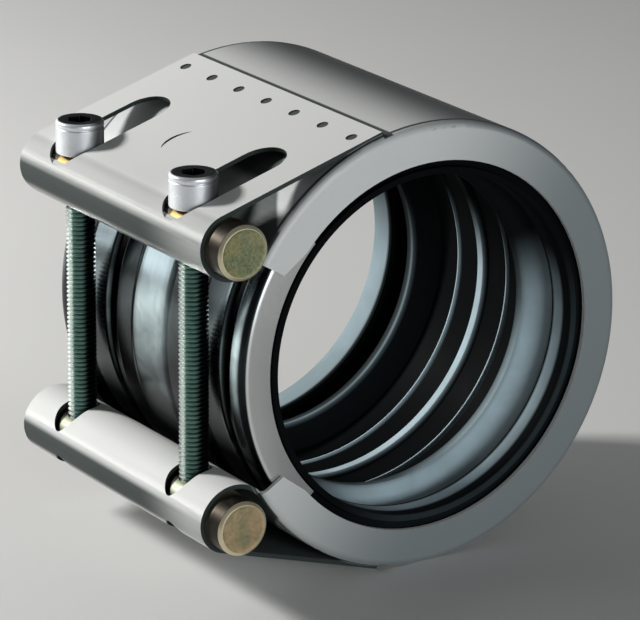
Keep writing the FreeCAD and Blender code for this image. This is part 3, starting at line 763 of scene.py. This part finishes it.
def bridge_material(finishes):
    """Pressed sheet with painted shade in the grooves, painted highlights on the bands and painted dark
    reflection towards the lower lug.
    """
    made, tree, shader, where, colour, rough = start_sheet(
        "pressed_sheet", finishes, stretch=(1800.0, 70.0, 70.0), metallic=1.0, roughness=0.24)
    x, _, z = parted(tree, where["Object"])
    # Painted shade in the grooves and painted highlights on the bands, along the bore
    painted_bands = tone_ramp(tree, x, BRIDGE_LIGHT_TONES, (0.88, 1.0, 1.05))
    # Painted dark reflection, darkest towards the lower lug, with a cloudy edge
    clouds = add_node(
        tree, "ShaderNodeTexNoise", Vector=where["Object"], Scale=55.0, Detail=3.0, Distortion=1.2)
    drift = scaled(tree, clouds.outputs["Fac"], -9 * MM, 9 * MM)
    slanted = add_math(tree, "ADD", z, add_math(tree, "MULTIPLY", x, 0.2))
    lower_reflection = tone_ramp(tree, add_math(tree, "ADD", slanted, drift), LOWER_REFLECTION_TONES, (0.95, 1.0, 1.0))
    for layer in (painted_bands, lower_reflection):
        colour = add_mix(tree, 1.0, colour, layer, blend="MULTIPLY")
    across = parted(tree, where["Normal"])[0]
    flange = rise(tree, add_math(tree, "ABSOLUTE", across), 0.88, 0.97)
    feed(tree, shader["Base Color"], add_mix(tree, flange, colour, finishes.steel))
    feed(tree, shader["Roughness"], rough)
    arrange(tree)
    return made


# Each pair is a place along the bore in millimetres and the strength of the rubber's painted sheen there
RUBBER_TONES = (
    (-48.0, 0.50), (-40.8, 0.45), (-39.8, 0.01), (-34.0, 0.01), (-28.0, 0.02), (-26.2, 0.06), (-25.2, 0.35),
    (-24.6, 0.01), (-12.5, 0.006), (-12.0, 0.85), (-11.3, 0.85), (-10.8, 0.006), (-2.4, 0.006), (-1.4, 0.75),
    (1.2, 0.75), (2.0, 0.006), (10.8, 0.006), (11.3, 0.85), (11.9, 0.85), (12.4, 0.006), (24.6, 0.006),
    (25.6, 0.25), (27.8, 0.55), (28.6, 0.85), (33.6, 0.96), (34.6, 0.01), (39.5, 0.01), (40.1, 0.80),
    (43.2, 0.65), (44.2, 0.02), (46.9, 0.01), (48.0, 0.06))


def rubber_material(finishes):
    """Moulded rubber: black channel, painted sheen on the lips, beads and ribs on the lit side, and a fine
    pebble.
    """
    made, tree, shader, where = start_material(
        "moulded_rubber", finishes.rubber, metallic=0.0, roughness=0.34)
    feed(tree, shader["Specular IOR Level"], 0.01)
    grain = add_group(
        tree, grain_group(), Vector=where["Object"], Stretch=(1400.0, 60.0, 60.0), Cloud_size=60.0)
    pebble = add_node(tree, "ShaderNodeTexNoise", Vector=where["Object"], Scale=2200.0, Detail=2.0)
    x, y, z = parted(tree, where["Object"])
    # Painted sheen and highlights along the bore, only on the side where the light falls
    sheen = tone_ramp(tree, x, RUBBER_TONES, finishes.rubber_sheen)
    slant = add_math(
        tree, "SUBTRACT", add_math(tree, "MULTIPLY", y, 0.6), add_math(tree, "MULTIPLY", z, 0.75))
    lit = add_math(tree, "ADD", rise(tree, slant, 10 * MM, 37 * MM), 0.01, clamp=True)
    patchy = scaled(tree, grain["Clouds"], 0.75, 1.0)
    feed(tree, shader["Base Color"], add_mix(tree, all_of(tree, lit, patchy), finishes.rubber, sheen))
    feed(tree, shader["Roughness"], scaled(tree, grain["Clouds"], 0.45, 0.58))
    height = add_math(tree, "ADD", pebble.outputs["Fac"], grain["Lines"])
    add_bump(tree, shader, height, strength=0.25, depth=0.04 * MM)
    arrange(tree)
    return made


def bar_material(finishes, name, box, plating, beside_screws):
    """Plated steel: turned rings, patches, a painted highlight on the rims, painted shade on the shaft and a
    deeper tone at the screws.
    """
    rim_width, shaft_skin = 1.1 * MM, 0.06 * MM
    shade_length, full_shade = 10 * MM, 5 * MM
    # Bands of painted shade and of deeper tone lie beside each screw, round a place a little off its axis
    off_axis, shade_half, tone_half = 5.6 * MM, 4.1 * MM, 13.0 * MM
    shade_fade, tone_fade = 0.7 * MM, 0.4 * MM
    made, tree, shader, where = start_material(name, plating, metallic=0.9, roughness=0.36)
    radius = (box[1].y - box[0].y) / 2
    centre = tuple((box[0] + box[1]) / 2)
    rings = add_group(tree, turning_group(), Vector=where["Object"], Centre=centre, Fineness=14000.0)
    patches = add_node(
        tree, "ShaderNodeTexNoise", Vector=where["Object"], Scale=120.0, Detail=4.0, Roughness=0.6,
        Distortion=0.8)
    colour = add_mix(tree, scaled(tree, patches.outputs["Fac"], 0.0, 1.0), plating, finishes.bar_green)
    specks = add_node(tree, "ShaderNodeTexNoise", Vector=where["Object"], Scale=1300.0, Detail=2.0)
    colour = add_mix(tree, scaled(tree, specks.outputs["Fac"], 0.0, 0.28), colour, finishes.bar_speck)
    # Painted highlight on the rims of the ends; the mask also takes in the whole shaft
    rim = add_math(tree, "GREATER_THAN", rings["Radius"], radius - rim_width)
    colour = add_mix(tree, add_math(tree, "MULTIPLY", rim, 0.7), colour, finishes.bar_rim_highlight)
    x = parted(tree, where["Object"])[0]
    # Painted shade on the shaft towards the near end and beside each screw
    shaft_shade = rise(tree, x, box[1].x - shade_length, box[1].x - full_shade)
    for place in (SCREW_PLACE, -SCREW_PLACE):
        off = add_math(tree, "ABSOLUTE", add_math(tree, "SUBTRACT", x, place - off_axis))
        shaft_shade = any_of(tree, shaft_shade, rise(tree, off, shade_half, shade_half - shade_fade))
        toned = rise(tree, off, tone_half, tone_half - tone_fade)
        colour = add_mix(tree, toned, colour, beside_screws)
    shaft = add_math(tree, "GREATER_THAN", rings["Radius"], radius - shaft_skin)
    colour = add_mix(tree, all_of(tree, shaft, shaft_shade), colour, finishes.bar_shaft_shade)
    feed(tree, shader["Base Color"], colour)
    feed(tree, shader["Roughness"], scaled(tree, patches.outputs["Fac"], 0.36, 0.50))
    add_bump(tree, shader, rings["Rings"], strength=0.12, depth=0.02 * MM)
    arrange(tree)
    return made


def side_facing(tree, normal):
    """Return how far an upright face looks towards the lit side of the screws: from 1 to -1."""
    lit_side = (-0.551, -0.834, 0)
    level = add_vector_math(tree, "MULTIPLY", normal, (1, 1, 0))[0]
    even = add_vector_math(tree, "NORMALIZE", level)[0]
    return add_vector_math(tree, "DOT_PRODUCT", even, lit_side)["Value"]


def darker(colour, share):
    """Return a colour at a share of its brightness."""
    return tuple(channel * share for channel in colour)


def upright_grain(tree, where):
    """Add the fine upright grain of the screws."""
    return add_group(
        tree, grain_group(), Vector=where["Object"], Stretch=(1500.0, 1500.0, 90.0), Cloud_size=300.0)


def thread_material(finishes):
    """Thread in oiled plating, with a painted highlight on the lit side and painted shade on the other."""
    made, tree, shader, where = start_material(
        "oiled_thread", finishes.thread, metallic=0.95, roughness=0.30)
    upward = parted(tree, where["Normal"])[2]
    facing = side_facing(tree, where["Normal"])
    cloudy = scaled(tree, upright_grain(tree, where)["Clouds"], 0.0, 0.6)
    colour = add_mix(tree, cloudy, finishes.thread, darker(finishes.thread, 0.4))
    # Painted shade on the side away from the light
    colour = add_mix(tree, rise(tree, facing, 0.1, -0.6), colour, finishes.thread_shade)
    # Painted highlight on the upper flanks of the lit side
    highlight = all_of(tree, rise(tree, facing, 0.60, 0.72), rise(tree, upward, -0.15, 0.2))
    feed(tree, shader["Base Color"], add_mix(tree, highlight, colour, finishes.thread_highlight))
    arrange(tree)
    return made


def screw_material(name, colour, metallic, roughness, grime_and_shade):
    """Bright or dark plating, dirtier in cloudy patches, with painted shade on the side away from the light.
    """
    made, tree, shader, where = start_material(name, colour, metallic, roughness)
    grain = upright_grain(tree, where)
    tone = add_mix(tree, scaled(tree, grain["Clouds"], 0.0, grime_and_shade), colour, darker(colour, 0.35))
    # Painted shade on the side of the head away from the light
    shaded = rise(tree, side_facing(tree, where["Normal"]), -0.35, -0.85)
    feed(tree, shader["Base Color"], add_mix(tree, shaded, tone, darker(colour, 0.12)))
    feed(tree, shader["Roughness"], scaled(tree, grain["Clouds"], roughness - 0.06, roughness + 0.1))
    add_bump(tree, shader, grain["Lines"], strength=0.06, depth=0.02 * MM)
    arrange(tree)
    return made


def bend_with_bar(piece):
    """Bake the piece's place into its mesh."""
    clear_selection()
    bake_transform(piece)


class COUPLING_OT_casing(bpy.types.Operator):
    """Make the folded casing from the solid's faces, with softened sheet edges."""

    bl_idname = "coupling.casing"
    bl_label = "Casing"

    def execute(self, context):
        sizes = context.scene.coupling_sizes
        finishes = context.scene.coupling_finishes
        clear_selection()
        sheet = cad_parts["casing"].data.copy()
        casing = bpy.data.objects.new("folded_casing", sheet)
        context.scene.collection.objects.link(casing)
        edit(casing)
        merge_close()
        bpy.ops.mesh.dissolve_limited(angle_limit=math.radians(0.2))
        bpy.ops.object.mode_set(mode="OBJECT")
        apply_modifier(
            casing, "BEVEL", width=sizes.sheet_edge_break, segments=2, limit_method="ANGLE",
            angle_limit=math.radians(50))
        coat(casing, [casing_material(finishes)])
        finish_piece(casing, "casing")
        bend_with_bar(casing)
        return {"FINISHED"}


class COUPLING_OT_bridge_plate(bpy.types.Operator):
    """Turn the ribbed bridge plate, keep its span and give the sheet its thickness."""

    bl_idname = "coupling.bridge_plate"
    bl_label = "Bridge plate"

    def execute(self, context):
        sizes = context.scene.coupling_sizes
        finishes = context.scene.coupling_finishes
        half = BRIDGE_BOX[1].x
        outer = -BRIDGE_BOX[0].y
        crown = sizes.crown_width / 2
        slope = sizes.rib_slope
        groove = sizes.groove_width
        terrace = outer - sizes.terrace_drop
        floor = outer - sizes.groove_drop
        band = outer - sizes.screw_band_drop
        start = SCREW_PLACE - sizes.screw_band / 2
        end = SCREW_PLACE + sizes.screw_band / 2
        stations = [
            (0.0, outer),
            (crown, outer),
            (crown + slope, terrace),
            (start - slope - groove - slope, terrace),
            (start - slope - groove, floor),
            (start - slope, floor),
            (start, band),
            (end, band),
            (end + slope, floor),
            (end + slope + groove, floor),
            (end + slope + groove + slope, outer),
            (half, outer),
            (half, sizes.bridge_flange),
        ]
        plate = turn_rings("ribbed_bridge_plate", both_halves(stations), PLATE_STEPS)
        reach = math.radians(sizes.bridge_span / 2 + 0.1)

        def outside_span(face):
            spot = face.calc_center_median()
            return abs(math.atan2(spot.z, -spot.y)) > reach

        pick("FACE", outside_span)
        bpy.ops.mesh.delete(type="FACE")
        sharp, pressed = math.radians(60), math.radians(12)
        pick("EDGE", lambda e: fold_angle(e) > sharp)
        bpy.ops.mesh.bevel(offset=sizes.bridge_corner, segments=6, affect="EDGES", clamp_overlap=False)
        pick("EDGE", lambda e: fold_angle(e) > pressed and abs(middle(e).x) < half * 0.9)
        bpy.ops.mesh.bevel(offset=sizes.press_round, segments=3, affect="EDGES", clamp_overlap=False)
        close_edit()
        widest = max(plate.data.polygons, key=lambda f: f.area)
        if widest.normal.dot(Vector((0, widest.center.y, widest.center.z))) < 0:
            edit(plate)
            bpy.ops.mesh.select_all(action="SELECT")
            bpy.ops.mesh.flip_normals()
            bpy.ops.object.mode_set(mode="OBJECT")
        apply_modifier(plate, "SOLIDIFY", thickness=sizes.bridge_sheet, offset=-1.0, use_even_offset=True)
        apply_modifier(
            plate, "BEVEL", width=sizes.sheet_edge_break, segments=2, limit_method="ANGLE",
            angle_limit=sharp)
        coat(plate, [bridge_material(finishes)])
        finish_piece(plate, "bridge_plate")
        bend_with_bar(plate)
        return {"FINISHED"}


class COUPLING_OT_sealing_sleeve(bpy.types.Operator):
    """Turn the rubber sleeve from ring to ring and round its corners."""

    bl_idname = "coupling.sealing_sleeve"
    bl_label = "Sealing sleeve"

    def execute(self, context):
        sizes = context.scene.coupling_sizes
        finishes = context.scene.coupling_finishes
        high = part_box("sealing_sleeve")[1]
        outer = high.y
        ledge = -BRIDGE_BOX[0].y - sizes.bridge_sheet - sizes.fit_room
        waist = ledge - sizes.groove_drop
        nose = high.x
        half = nose - sizes.sleeve_nose
        channel = waist - sizes.sleeve_wall
        crest = channel - sizes.lip_height
        middle_crest = channel - sizes.middle_rib
        rib_crest = channel - sizes.rib_height
        neck = sizes.bridge_flange - sizes.fit_room
        bead = sizes.bead_radius
        bead_start = half - sizes.bead_width
        rib, rib_foot, rib_top = sizes.rib_spacing, 0.5 * MM, 0.25 * MM
        middle_foot, middle_top = 2.4 * MM, 1.2 * MM
        lip = sizes.lip_place
        stations = [
            (0.0, middle_crest),
            (middle_top, middle_crest),
            (middle_foot, channel),
            (rib - rib_foot, channel),
            (rib - rib_top, rib_crest),
            (rib + rib_top, rib_crest),
            (rib + rib_foot, channel),
            (sizes.lip_start, channel),
            (lip - sizes.lip_crest / 2, crest),
            (lip + sizes.lip_crest / 2, crest),
            (sizes.lip_end, channel),
            (bead_start, channel),
            (bead_start, bead),
            (nose, bead),
            (nose, neck),
            (half, neck),
            (half, outer - sizes.shoulder),
            (half - sizes.shoulder, outer),
        ]
        sleeve = turn_rings("moulded_sleeve", both_halves(stations), SLEEVE_STEPS)
        self.close_rings()
        apply_modifier(
            sleeve, "BEVEL", width=sizes.sleeve_round, segments=3, limit_method="ANGLE",
            angle_limit=math.radians(12))
        cut_away(sleeve, self.build_recess(sizes, half, ledge, waist))
        coat(sleeve, [rubber_material(finishes)])
        finish_piece(sleeve, "sealing_sleeve", smooth=50.0)
        bend_with_bar(sleeve)
        return {"FINISHED"}

    def close_rings(self):
        """Join the last ring to the first."""
        pick("EDGE", lambda e: e.is_boundary)
        bpy.ops.mesh.bridge_edge_loops()
        merge_close()
        close_edit()

    def build_recess(self, sizes, half, ledge, waist):
        """Turn the room of the bridge plate and keep the part across the gap."""
        step = SCREW_PLACE + sizes.screw_band / 2 + sizes.groove_width + sizes.rib_slope * 2 + sizes.fit_room
        past = half + sizes.sleeve_nose
        lowered = ledge - sizes.shoulder
        stations = [
            (step, waist),
            (step, ledge),
            (half - sizes.shoulder, ledge),
            (half, lowered),
            (past, lowered),
            (past, SHELL_RADIUS),
        ]
        far = [(-place, radius) for place, radius in reversed(stations)]
        recess = turn_rings("recess", far + stations, SLEEVE_STEPS)
        self.close_rings()
        edit(recess)
        room_past_plate = 1.5
        reach = math.radians(sizes.bridge_span / 2 + room_past_plate)
        for side in (1, -1):
            bpy.ops.mesh.select_all(action="SELECT")
            bpy.ops.mesh.bisect(
                plane_co=(0, 0, 0), plane_no=(0, math.sin(reach), side * math.cos(reach)), use_fill=True,
                clear_outer=True)
        close_edit()
        return recess


class COUPLING_OT_bars(bpy.types.Operator):
    """Turn the two round bars, drill them for the screws and cut the heads' seats."""

    bl_idname = "coupling.bars"
    bl_label = "Bars"

    def execute(self, context):
        sizes = context.scene.coupling_sizes
        finishes = context.scene.coupling_finishes
        for name, node, body, box, room, seated, plating, beside_screws in (
            ("turned_upper_bar", "upper_bar", "casing", UPPER_BAR_BOX, sizes.shank_room, True,
             finishes.bar, finishes.bar_seat),
            ("turned_lower_bar", "lower_bar", "lower_bar", LOWER_BAR_BOX, sizes.thread_room, False,
             finishes.bar_bronze, finishes.bar_thread),
        ):
            finish = bar_material(finishes, name + "_plating", box, tuple(plating), tuple(beside_screws))
            bar = self.build(sizes, name, box, room, seated)
            coat(bar, [finish])
            finish_piece(bar, node)
            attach(bar, body)
        return {"FINISHED"}

    def build(self, sizes, name, box, room, seated):
        """Model one bar in the place of its solid, with room round the screws."""
        centre = (box[0] + box[1]) / 2
        radius = (box[1].y - box[0].y) / 2
        half = (box[1].x - box[0].x) / 2
        rim, rim_slope, rim_height, edge_break = 0.5 * MM, 0.35 * MM, 0.12 * MM, 0.12 * MM
        bar = add_rod(name, BAR_STEPS, radius, half * 2, centre, lying=True)
        edit(bar, "EDGE")
        pick("EDGE", lambda e: abs(middle(e).x - centre.x) > half - SLACK)
        bpy.ops.mesh.bevel(offset=sizes.bar_chamfer, segments=1, affect="EDGES")
        pick("FACE", lambda f: abs(f.normal.x) > 0.9 and len(f.verts) == BAR_STEPS)
        bpy.ops.mesh.inset(thickness=rim, depth=0)
        bpy.ops.mesh.inset(thickness=rim_slope, depth=-rim_height)
        close_edit()
        hole_radius = sizes.screw_diameter / 2 + room
        for across in (SCREW_PLACE, -SCREW_PLACE):
            spot = (across, centre.y, centre.z)
            cut_away(bar, add_rod("drill", HOLE_STEPS, hole_radius, radius * 4, spot))
            if seated:
                spot = (across, centre.y, centre.z + sizes.head_seat + radius / 2)
                cut_away(bar, add_rod("seat_cutter", HOLE_STEPS, sizes.seat_width / 2, radius, spot))
        apply_modifier(
            bar, "BEVEL", width=edge_break, segments=2, limit_method="ANGLE", angle_limit=math.radians(30))
        return bar


class COUPLING_OT_screws(bpy.types.Operator):
    """Make the socket head screws with their cut threads."""

    bl_idname = "coupling.screws"
    bl_label = "Screws"

    def execute(self, context):
        sizes = context.scene.coupling_sizes
        finishes = context.scene.coupling_finishes
        bright = screw_material(
            "bright_head", tuple(finishes.screw), metallic=0.6, roughness=0.32, grime_and_shade=0.12)
        dark = screw_material(
            "dark_head_top", tuple(finishes.head_top), metallic=0.98, roughness=0.34, grime_and_shade=0.5)
        plating = [bright, dark, thread_material(finishes)]
        thread_slot = len(plating) - 1
        for name, node, box in (
            ("threaded_screw_near", "screw_near", NEAR_SCREW_BOX),
            ("threaded_screw_far", "screw_far", FAR_SCREW_BOX),
        ):
            head = self.build_head(sizes, box)
            self.paint_head(sizes, box, head, plating)
            shank = self.build_thread(sizes, box)
            coat(shank, plating)
            for polygon in shank.data.polygons:
                polygon.material_index = thread_slot
            take(head)
            shank.select_set(True)
            bpy.ops.object.join()
            screw = named(name)
            finish_piece(screw, node)
            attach(screw, node)
        return {"FINISHED"}

    def build_head(self, sizes, box):
        """Model the head: broken rim, narrow groove, fine knurl and hexagon socket."""
        centre = (box[0] + box[1]) / 2
        radius = (box[1].x - box[0].x) / 2
        top = box[1].z
        seat = top - sizes.head_height
        groove = [top - drop * MM for drop in (1.5, 1.62, 1.95, 2.07)]
        groove_depth, knurl_depth, rim_round, edge_break = 0.22 * MM, 0.10 * MM, 0.7 * MM, 0.15 * MM
        knurl_top, knurl_foot, smooth_foot = top - 2.5 * MM, seat + 0.9 * MM, seat + 0.5 * MM
        head = add_rod(
            "head", KNURL_STEPS, radius, sizes.head_height, (centre.x, centre.y, (top + seat) / 2))
        edit(head, "EDGE")
        pick("EDGE", lambda e: middle(e).z > top - SLACK)
        bpy.ops.mesh.bevel(offset=rim_round, segments=3, affect="EDGES")
        for level in groove + [knurl_top, knurl_foot, smooth_foot]:
            bpy.ops.mesh.select_all(action="SELECT")
            bpy.ops.mesh.bisect(plane_co=(0, 0, level), plane_no=(0, 0, 1))

        def in_valley(vertex):
            turn = math.atan2(vertex.co.y - centre.y, vertex.co.x - centre.x) / (2 * math.pi) * KNURL_STEPS
            return knurl_foot - SLACK < vertex.co.z < knurl_top + SLACK and round(turn) % 2 == 1

        for wanted, depth in (
            (lambda v: groove[2] - SLACK < v.co.z < groove[1] + SLACK, groove_depth),
            (in_valley, knurl_depth),
        ):
            pick("VERT", wanted)
            shrink = 1 - depth / radius
            bpy.ops.transform.resize(value=(shrink, shrink, 1), center_override=(centre.x, centre.y, 0))
        close_edit()
        cut_away(head, self.build_key(sizes, centre, top))
        apply_modifier(
            head, "BEVEL", width=edge_break, segments=2, limit_method="ANGLE", angle_limit=math.radians(50))
        return head

    def build_key(self, sizes, centre, top):
        """Model the hexagon that cuts the socket, with the drill's point at its end."""
        corner_radius = sizes.key_width / 2 / math.cos(math.pi / 6)
        point_depth, point_share = 1.2 * MM, 0.1
        key = add_rod("key", 6, corner_radius, sizes.key_depth * 2, (centre.x, centre.y, top))
        edit(key)
        pick("FACE", lambda f: f.normal.z < -0.9)
        bpy.ops.mesh.extrude_region_move(TRANSFORM_OT_translate={"value": (0, 0, -point_depth)})
        bpy.ops.transform.resize(
            value=(point_share, point_share, 1), center_override=(centre.x, centre.y, 0))
        close_edit()
        return key

    def paint_head(self, sizes, box, head, plating):
        """Give the flat top and the socket the dark finish, and the rest the bright one."""
        bright, dark = 0, 1
        centre = (box[0] + box[1]) / 2
        radius = (box[1].x - box[0].x) / 2
        seat = box[1].z - sizes.head_height
        coat(head, plating)
        for polygon in head.data.polygons:
            spot = polygon.center
            across = math.hypot(spot.x - centre.x, spot.y - centre.y)
            inside = spot.z > seat + 2 * MM and across < radius - 0.6 * MM
            polygon.material_index = dark if inside else bright

    def build_thread(self, sizes, box):
        """Draw one turn of the thread's outline, wind it down the screw and close both ends."""
        centre = (box[0] + box[1]) / 2
        pitch, depth = sizes.thread_pitch, sizes.thread_depth
        root_flat, crest_flat, flank = pitch / 4, pitch / 8, pitch * 5 / 16
        seat = box[1].z - sizes.head_height
        bottom = box[0].z
        point_length, point_share = 1.0 * MM, 0.8
        turns = math.ceil((seat - bottom) / pitch) + 3
        clear_selection()
        bpy.ops.mesh.primitive_plane_add(size=MM, location=(0, 0, 0))
        shank = named("shank")
        edit(shank, "VERT")
        bpy.ops.mesh.select_all(action="SELECT")
        bpy.ops.mesh.merge(type="CENTER")
        bpy.ops.transform.translate(value=(sizes.screw_diameter / 2 - depth, 0, 0))
        for outwards, upwards in ((0.0, root_flat), (depth, flank), (0.0, crest_flat), (-depth, flank)):
            bpy.ops.mesh.extrude_region_move(TRANSFORM_OT_translate={"value": (outwards, 0, upwards)})
        bpy.ops.object.mode_set(mode="OBJECT")
        apply_modifier(
            shank, "SCREW", axis="Z", angle=2 * math.pi, screw_offset=pitch, iterations=turns,
            steps=THREAD_STEPS, render_steps=THREAD_STEPS, use_merge_vertices=True,
            merge_threshold=SAME_PLACE)
        take(shank)
        shank.location = (centre.x, centre.y, bottom - 1.5 * pitch)
        bpy.ops.object.transform_apply(location=True, rotation=True, scale=True)
        edit(shank)
        merge_close()
        bpy.ops.mesh.bisect(
            plane_co=(0, 0, seat + point_length), plane_no=(0, 0, 1), use_fill=True, clear_outer=True)
        bpy.ops.mesh.select_all(action="SELECT")
        bpy.ops.mesh.bisect(
            plane_co=(0, 0, bottom + point_length), plane_no=(0, 0, 1), use_fill=True, clear_inner=True)

        def is_end(face):
            low = face.calc_center_median().z < bottom + point_length + 0.1 * MM
            return face.normal.z < -0.9 and low and len(face.verts) > 8

        pick("FACE", is_end)
        bpy.ops.mesh.extrude_region_move(TRANSFORM_OT_translate={"value": (0, 0, -point_length)})
        bpy.ops.transform.resize(
            value=(point_share, point_share, 1), center_override=(centre.x, centre.y, 0))
        close_edit()
        return shank


class COUPLING_OT_stage(bpy.types.Operator):
    """Add the pale floor, the lamps, the surroundings and the camera."""

    bl_idname = "coupling.stage"
    bl_label = "Stage"

    def execute(self, context):
        scene = context.scene
        stage = scene.coupling_stage
        scene.view_settings.view_transform = "Standard"
        self.add_floor(scene.coupling_finishes)
        self.add_air(scene, stage)
        for name, place, extent, strength, colour in (
            ("key_lamp", (-50, 29, 0.9), (0.14, 0.14), stage.key_strength, (1.0, 0.985, 0.96)),
            ("side_lamp", (-76, 15, 1.0), (1.1, 0.5), stage.side_strength, (0.98, 0.99, 1.0)),
            ("fill_lamp", (88, 9, 1.1), (0.7, 0.32), stage.fill_strength, (0.94, 0.98, 1.0)),
        ):
            self.add_lamp(name, place, extent, strength, colour)
        self.add_camera(scene, stage)
        return {"FINISHED"}

    def direction(self, azimuth, elevation):
        """Return the direction from the coupling to a point round it."""
        turn, rise = math.radians(azimuth), math.radians(elevation)
        return Vector((math.sin(turn) * math.cos(rise), -math.cos(turn) * math.cos(rise), math.sin(rise)))

    def add_floor(self, finishes):
        """Lay the floor under the casing."""
        clear_selection()
        bpy.ops.mesh.primitive_plane_add(size=6.0, location=(0, 0, CASING_BOX[0].z))
        floor = named("floor")
        bpy.ops.object.transform_apply(location=True, rotation=True, scale=True)
        made, tree, shader, where = start_material(
            "pale_floor", finishes.floor, metallic=0.0, roughness=0.7)
        cloud = add_node(tree, "ShaderNodeTexNoise", Vector=where["Object"], Scale=6.0, Detail=2.0)
        share = scaled(tree, cloud.outputs["Fac"], 0.0, 1.0)
        feed(tree, shader["Base Color"], add_mix(tree, share, finishes.floor, darker(finishes.floor, 0.97)))
        arrange(tree)
        floor.data.materials.append(made)

    def add_air(self, scene, stage):
        """Light the surroundings evenly."""
        air = bpy.data.worlds.new("studio_air")
        air.use_nodes = True
        glow = air.node_tree.nodes["Background"]
        glow.inputs["Color"].default_value = (0.97, 0.985, 1.0, 1.0)
        glow.inputs["Strength"].default_value = stage.air
        scene.world = air

    def add_lamp(self, name, place, extent, power, colour):
        """Hang one area lamp that faces the coupling from an azimuth, an elevation and a distance."""
        azimuth, elevation, distance = place
        back = self.direction(azimuth, elevation)
        clear_selection()
        bpy.ops.object.light_add(type="AREA", location=back * distance)
        lamp = bpy.context.view_layer.objects.active
        lamp.name = name
        lamp.data.shape = "RECTANGLE"
        lamp.data.size, lamp.data.size_y = extent
        lamp.data.energy = power
        lamp.data.color = colour
        lamp.rotation_mode = "QUATERNION"
        lamp.rotation_quaternion = back.to_track_quat("Z", "Y")

    def add_camera(self, scene, stage):
        """Set the camera at the photograph's angle."""
        back = self.direction(stage.azimuth, stage.elevation)
        target = Vector(stage.target)
        right = (-back).cross(Vector((0, 0, 1))).normalized()
        up = right.cross(-back)
        roll = math.radians(stage.roll)
        side = right * math.cos(roll) + up * math.sin(roll)
        rise = up * math.cos(roll) - right * math.sin(roll)
        clear_selection()
        bpy.ops.object.camera_add(location=target + back * stage.distance)
        camera = bpy.context.view_layer.objects.active
        camera.name = "photo_camera"
        camera.matrix_world = Matrix.Translation(target + back * stage.distance) @ Matrix(
            (side, rise, back)).transposed().to_4x4()
        camera.data.sensor_width = 36
        camera.data.lens = stage.lens
        camera.data.clip_start = 0.05
        scene.camera = camera


class COUPLING_PT_panel(bpy.types.Panel):
    """List the steps and the sizes in the sidebar."""

    bl_idname = "COUPLING_PT_panel"
    bl_label = "Pipe Coupling"
    bl_space_type = "VIEW_3D"
    bl_region_type = "UI"
    bl_category = "Coupling"

    def draw(self, context):
        for operator in STEPS:
            self.layout.operator(operator.bl_idname)
        for group in ("coupling_sizes", "coupling_finishes", "coupling_stage"):
            box = self.layout.box()
            values = getattr(context.scene, group)
            for name in values.bl_rna.properties.keys():
                if name not in {"rna_type", "name"}:
                    box.prop(values, name)


STEPS = (
    COUPLING_OT_casing,
    COUPLING_OT_bridge_plate,
    COUPLING_OT_sealing_sleeve,
    COUPLING_OT_bars,
    COUPLING_OT_screws,
    COUPLING_OT_stage,
)
CLASSES = (CouplingSizes, CouplingFinishes, CouplingStage, *STEPS, COUPLING_PT_panel)


def register():
    """Register the classes and their settings."""
    for entry in CLASSES:
        bpy.utils.register_class(entry)
    bpy.types.Scene.coupling_sizes = bpy.props.PointerProperty(type=CouplingSizes)
    bpy.types.Scene.coupling_finishes = bpy.props.PointerProperty(type=CouplingFinishes)
    bpy.types.Scene.coupling_stage = bpy.props.PointerProperty(type=CouplingStage)


def unregister():
    """Remove the settings and the classes."""
    del bpy.types.Scene.coupling_stage
    del bpy.types.Scene.coupling_finishes
    del bpy.types.Scene.coupling_sizes
    for entry in reversed(CLASSES):
        bpy.utils.unregister_class(entry)


def main():
    """Build every piece and the stage."""
    register()
    bpy.ops.coupling.casing()
    bpy.ops.coupling.bridge_plate()
    bpy.ops.coupling.sealing_sleeve()
    bpy.ops.coupling.bars()
    bpy.ops.coupling.screws()
    bpy.ops.coupling.stage()


if __name__ == "__main__":
    main()
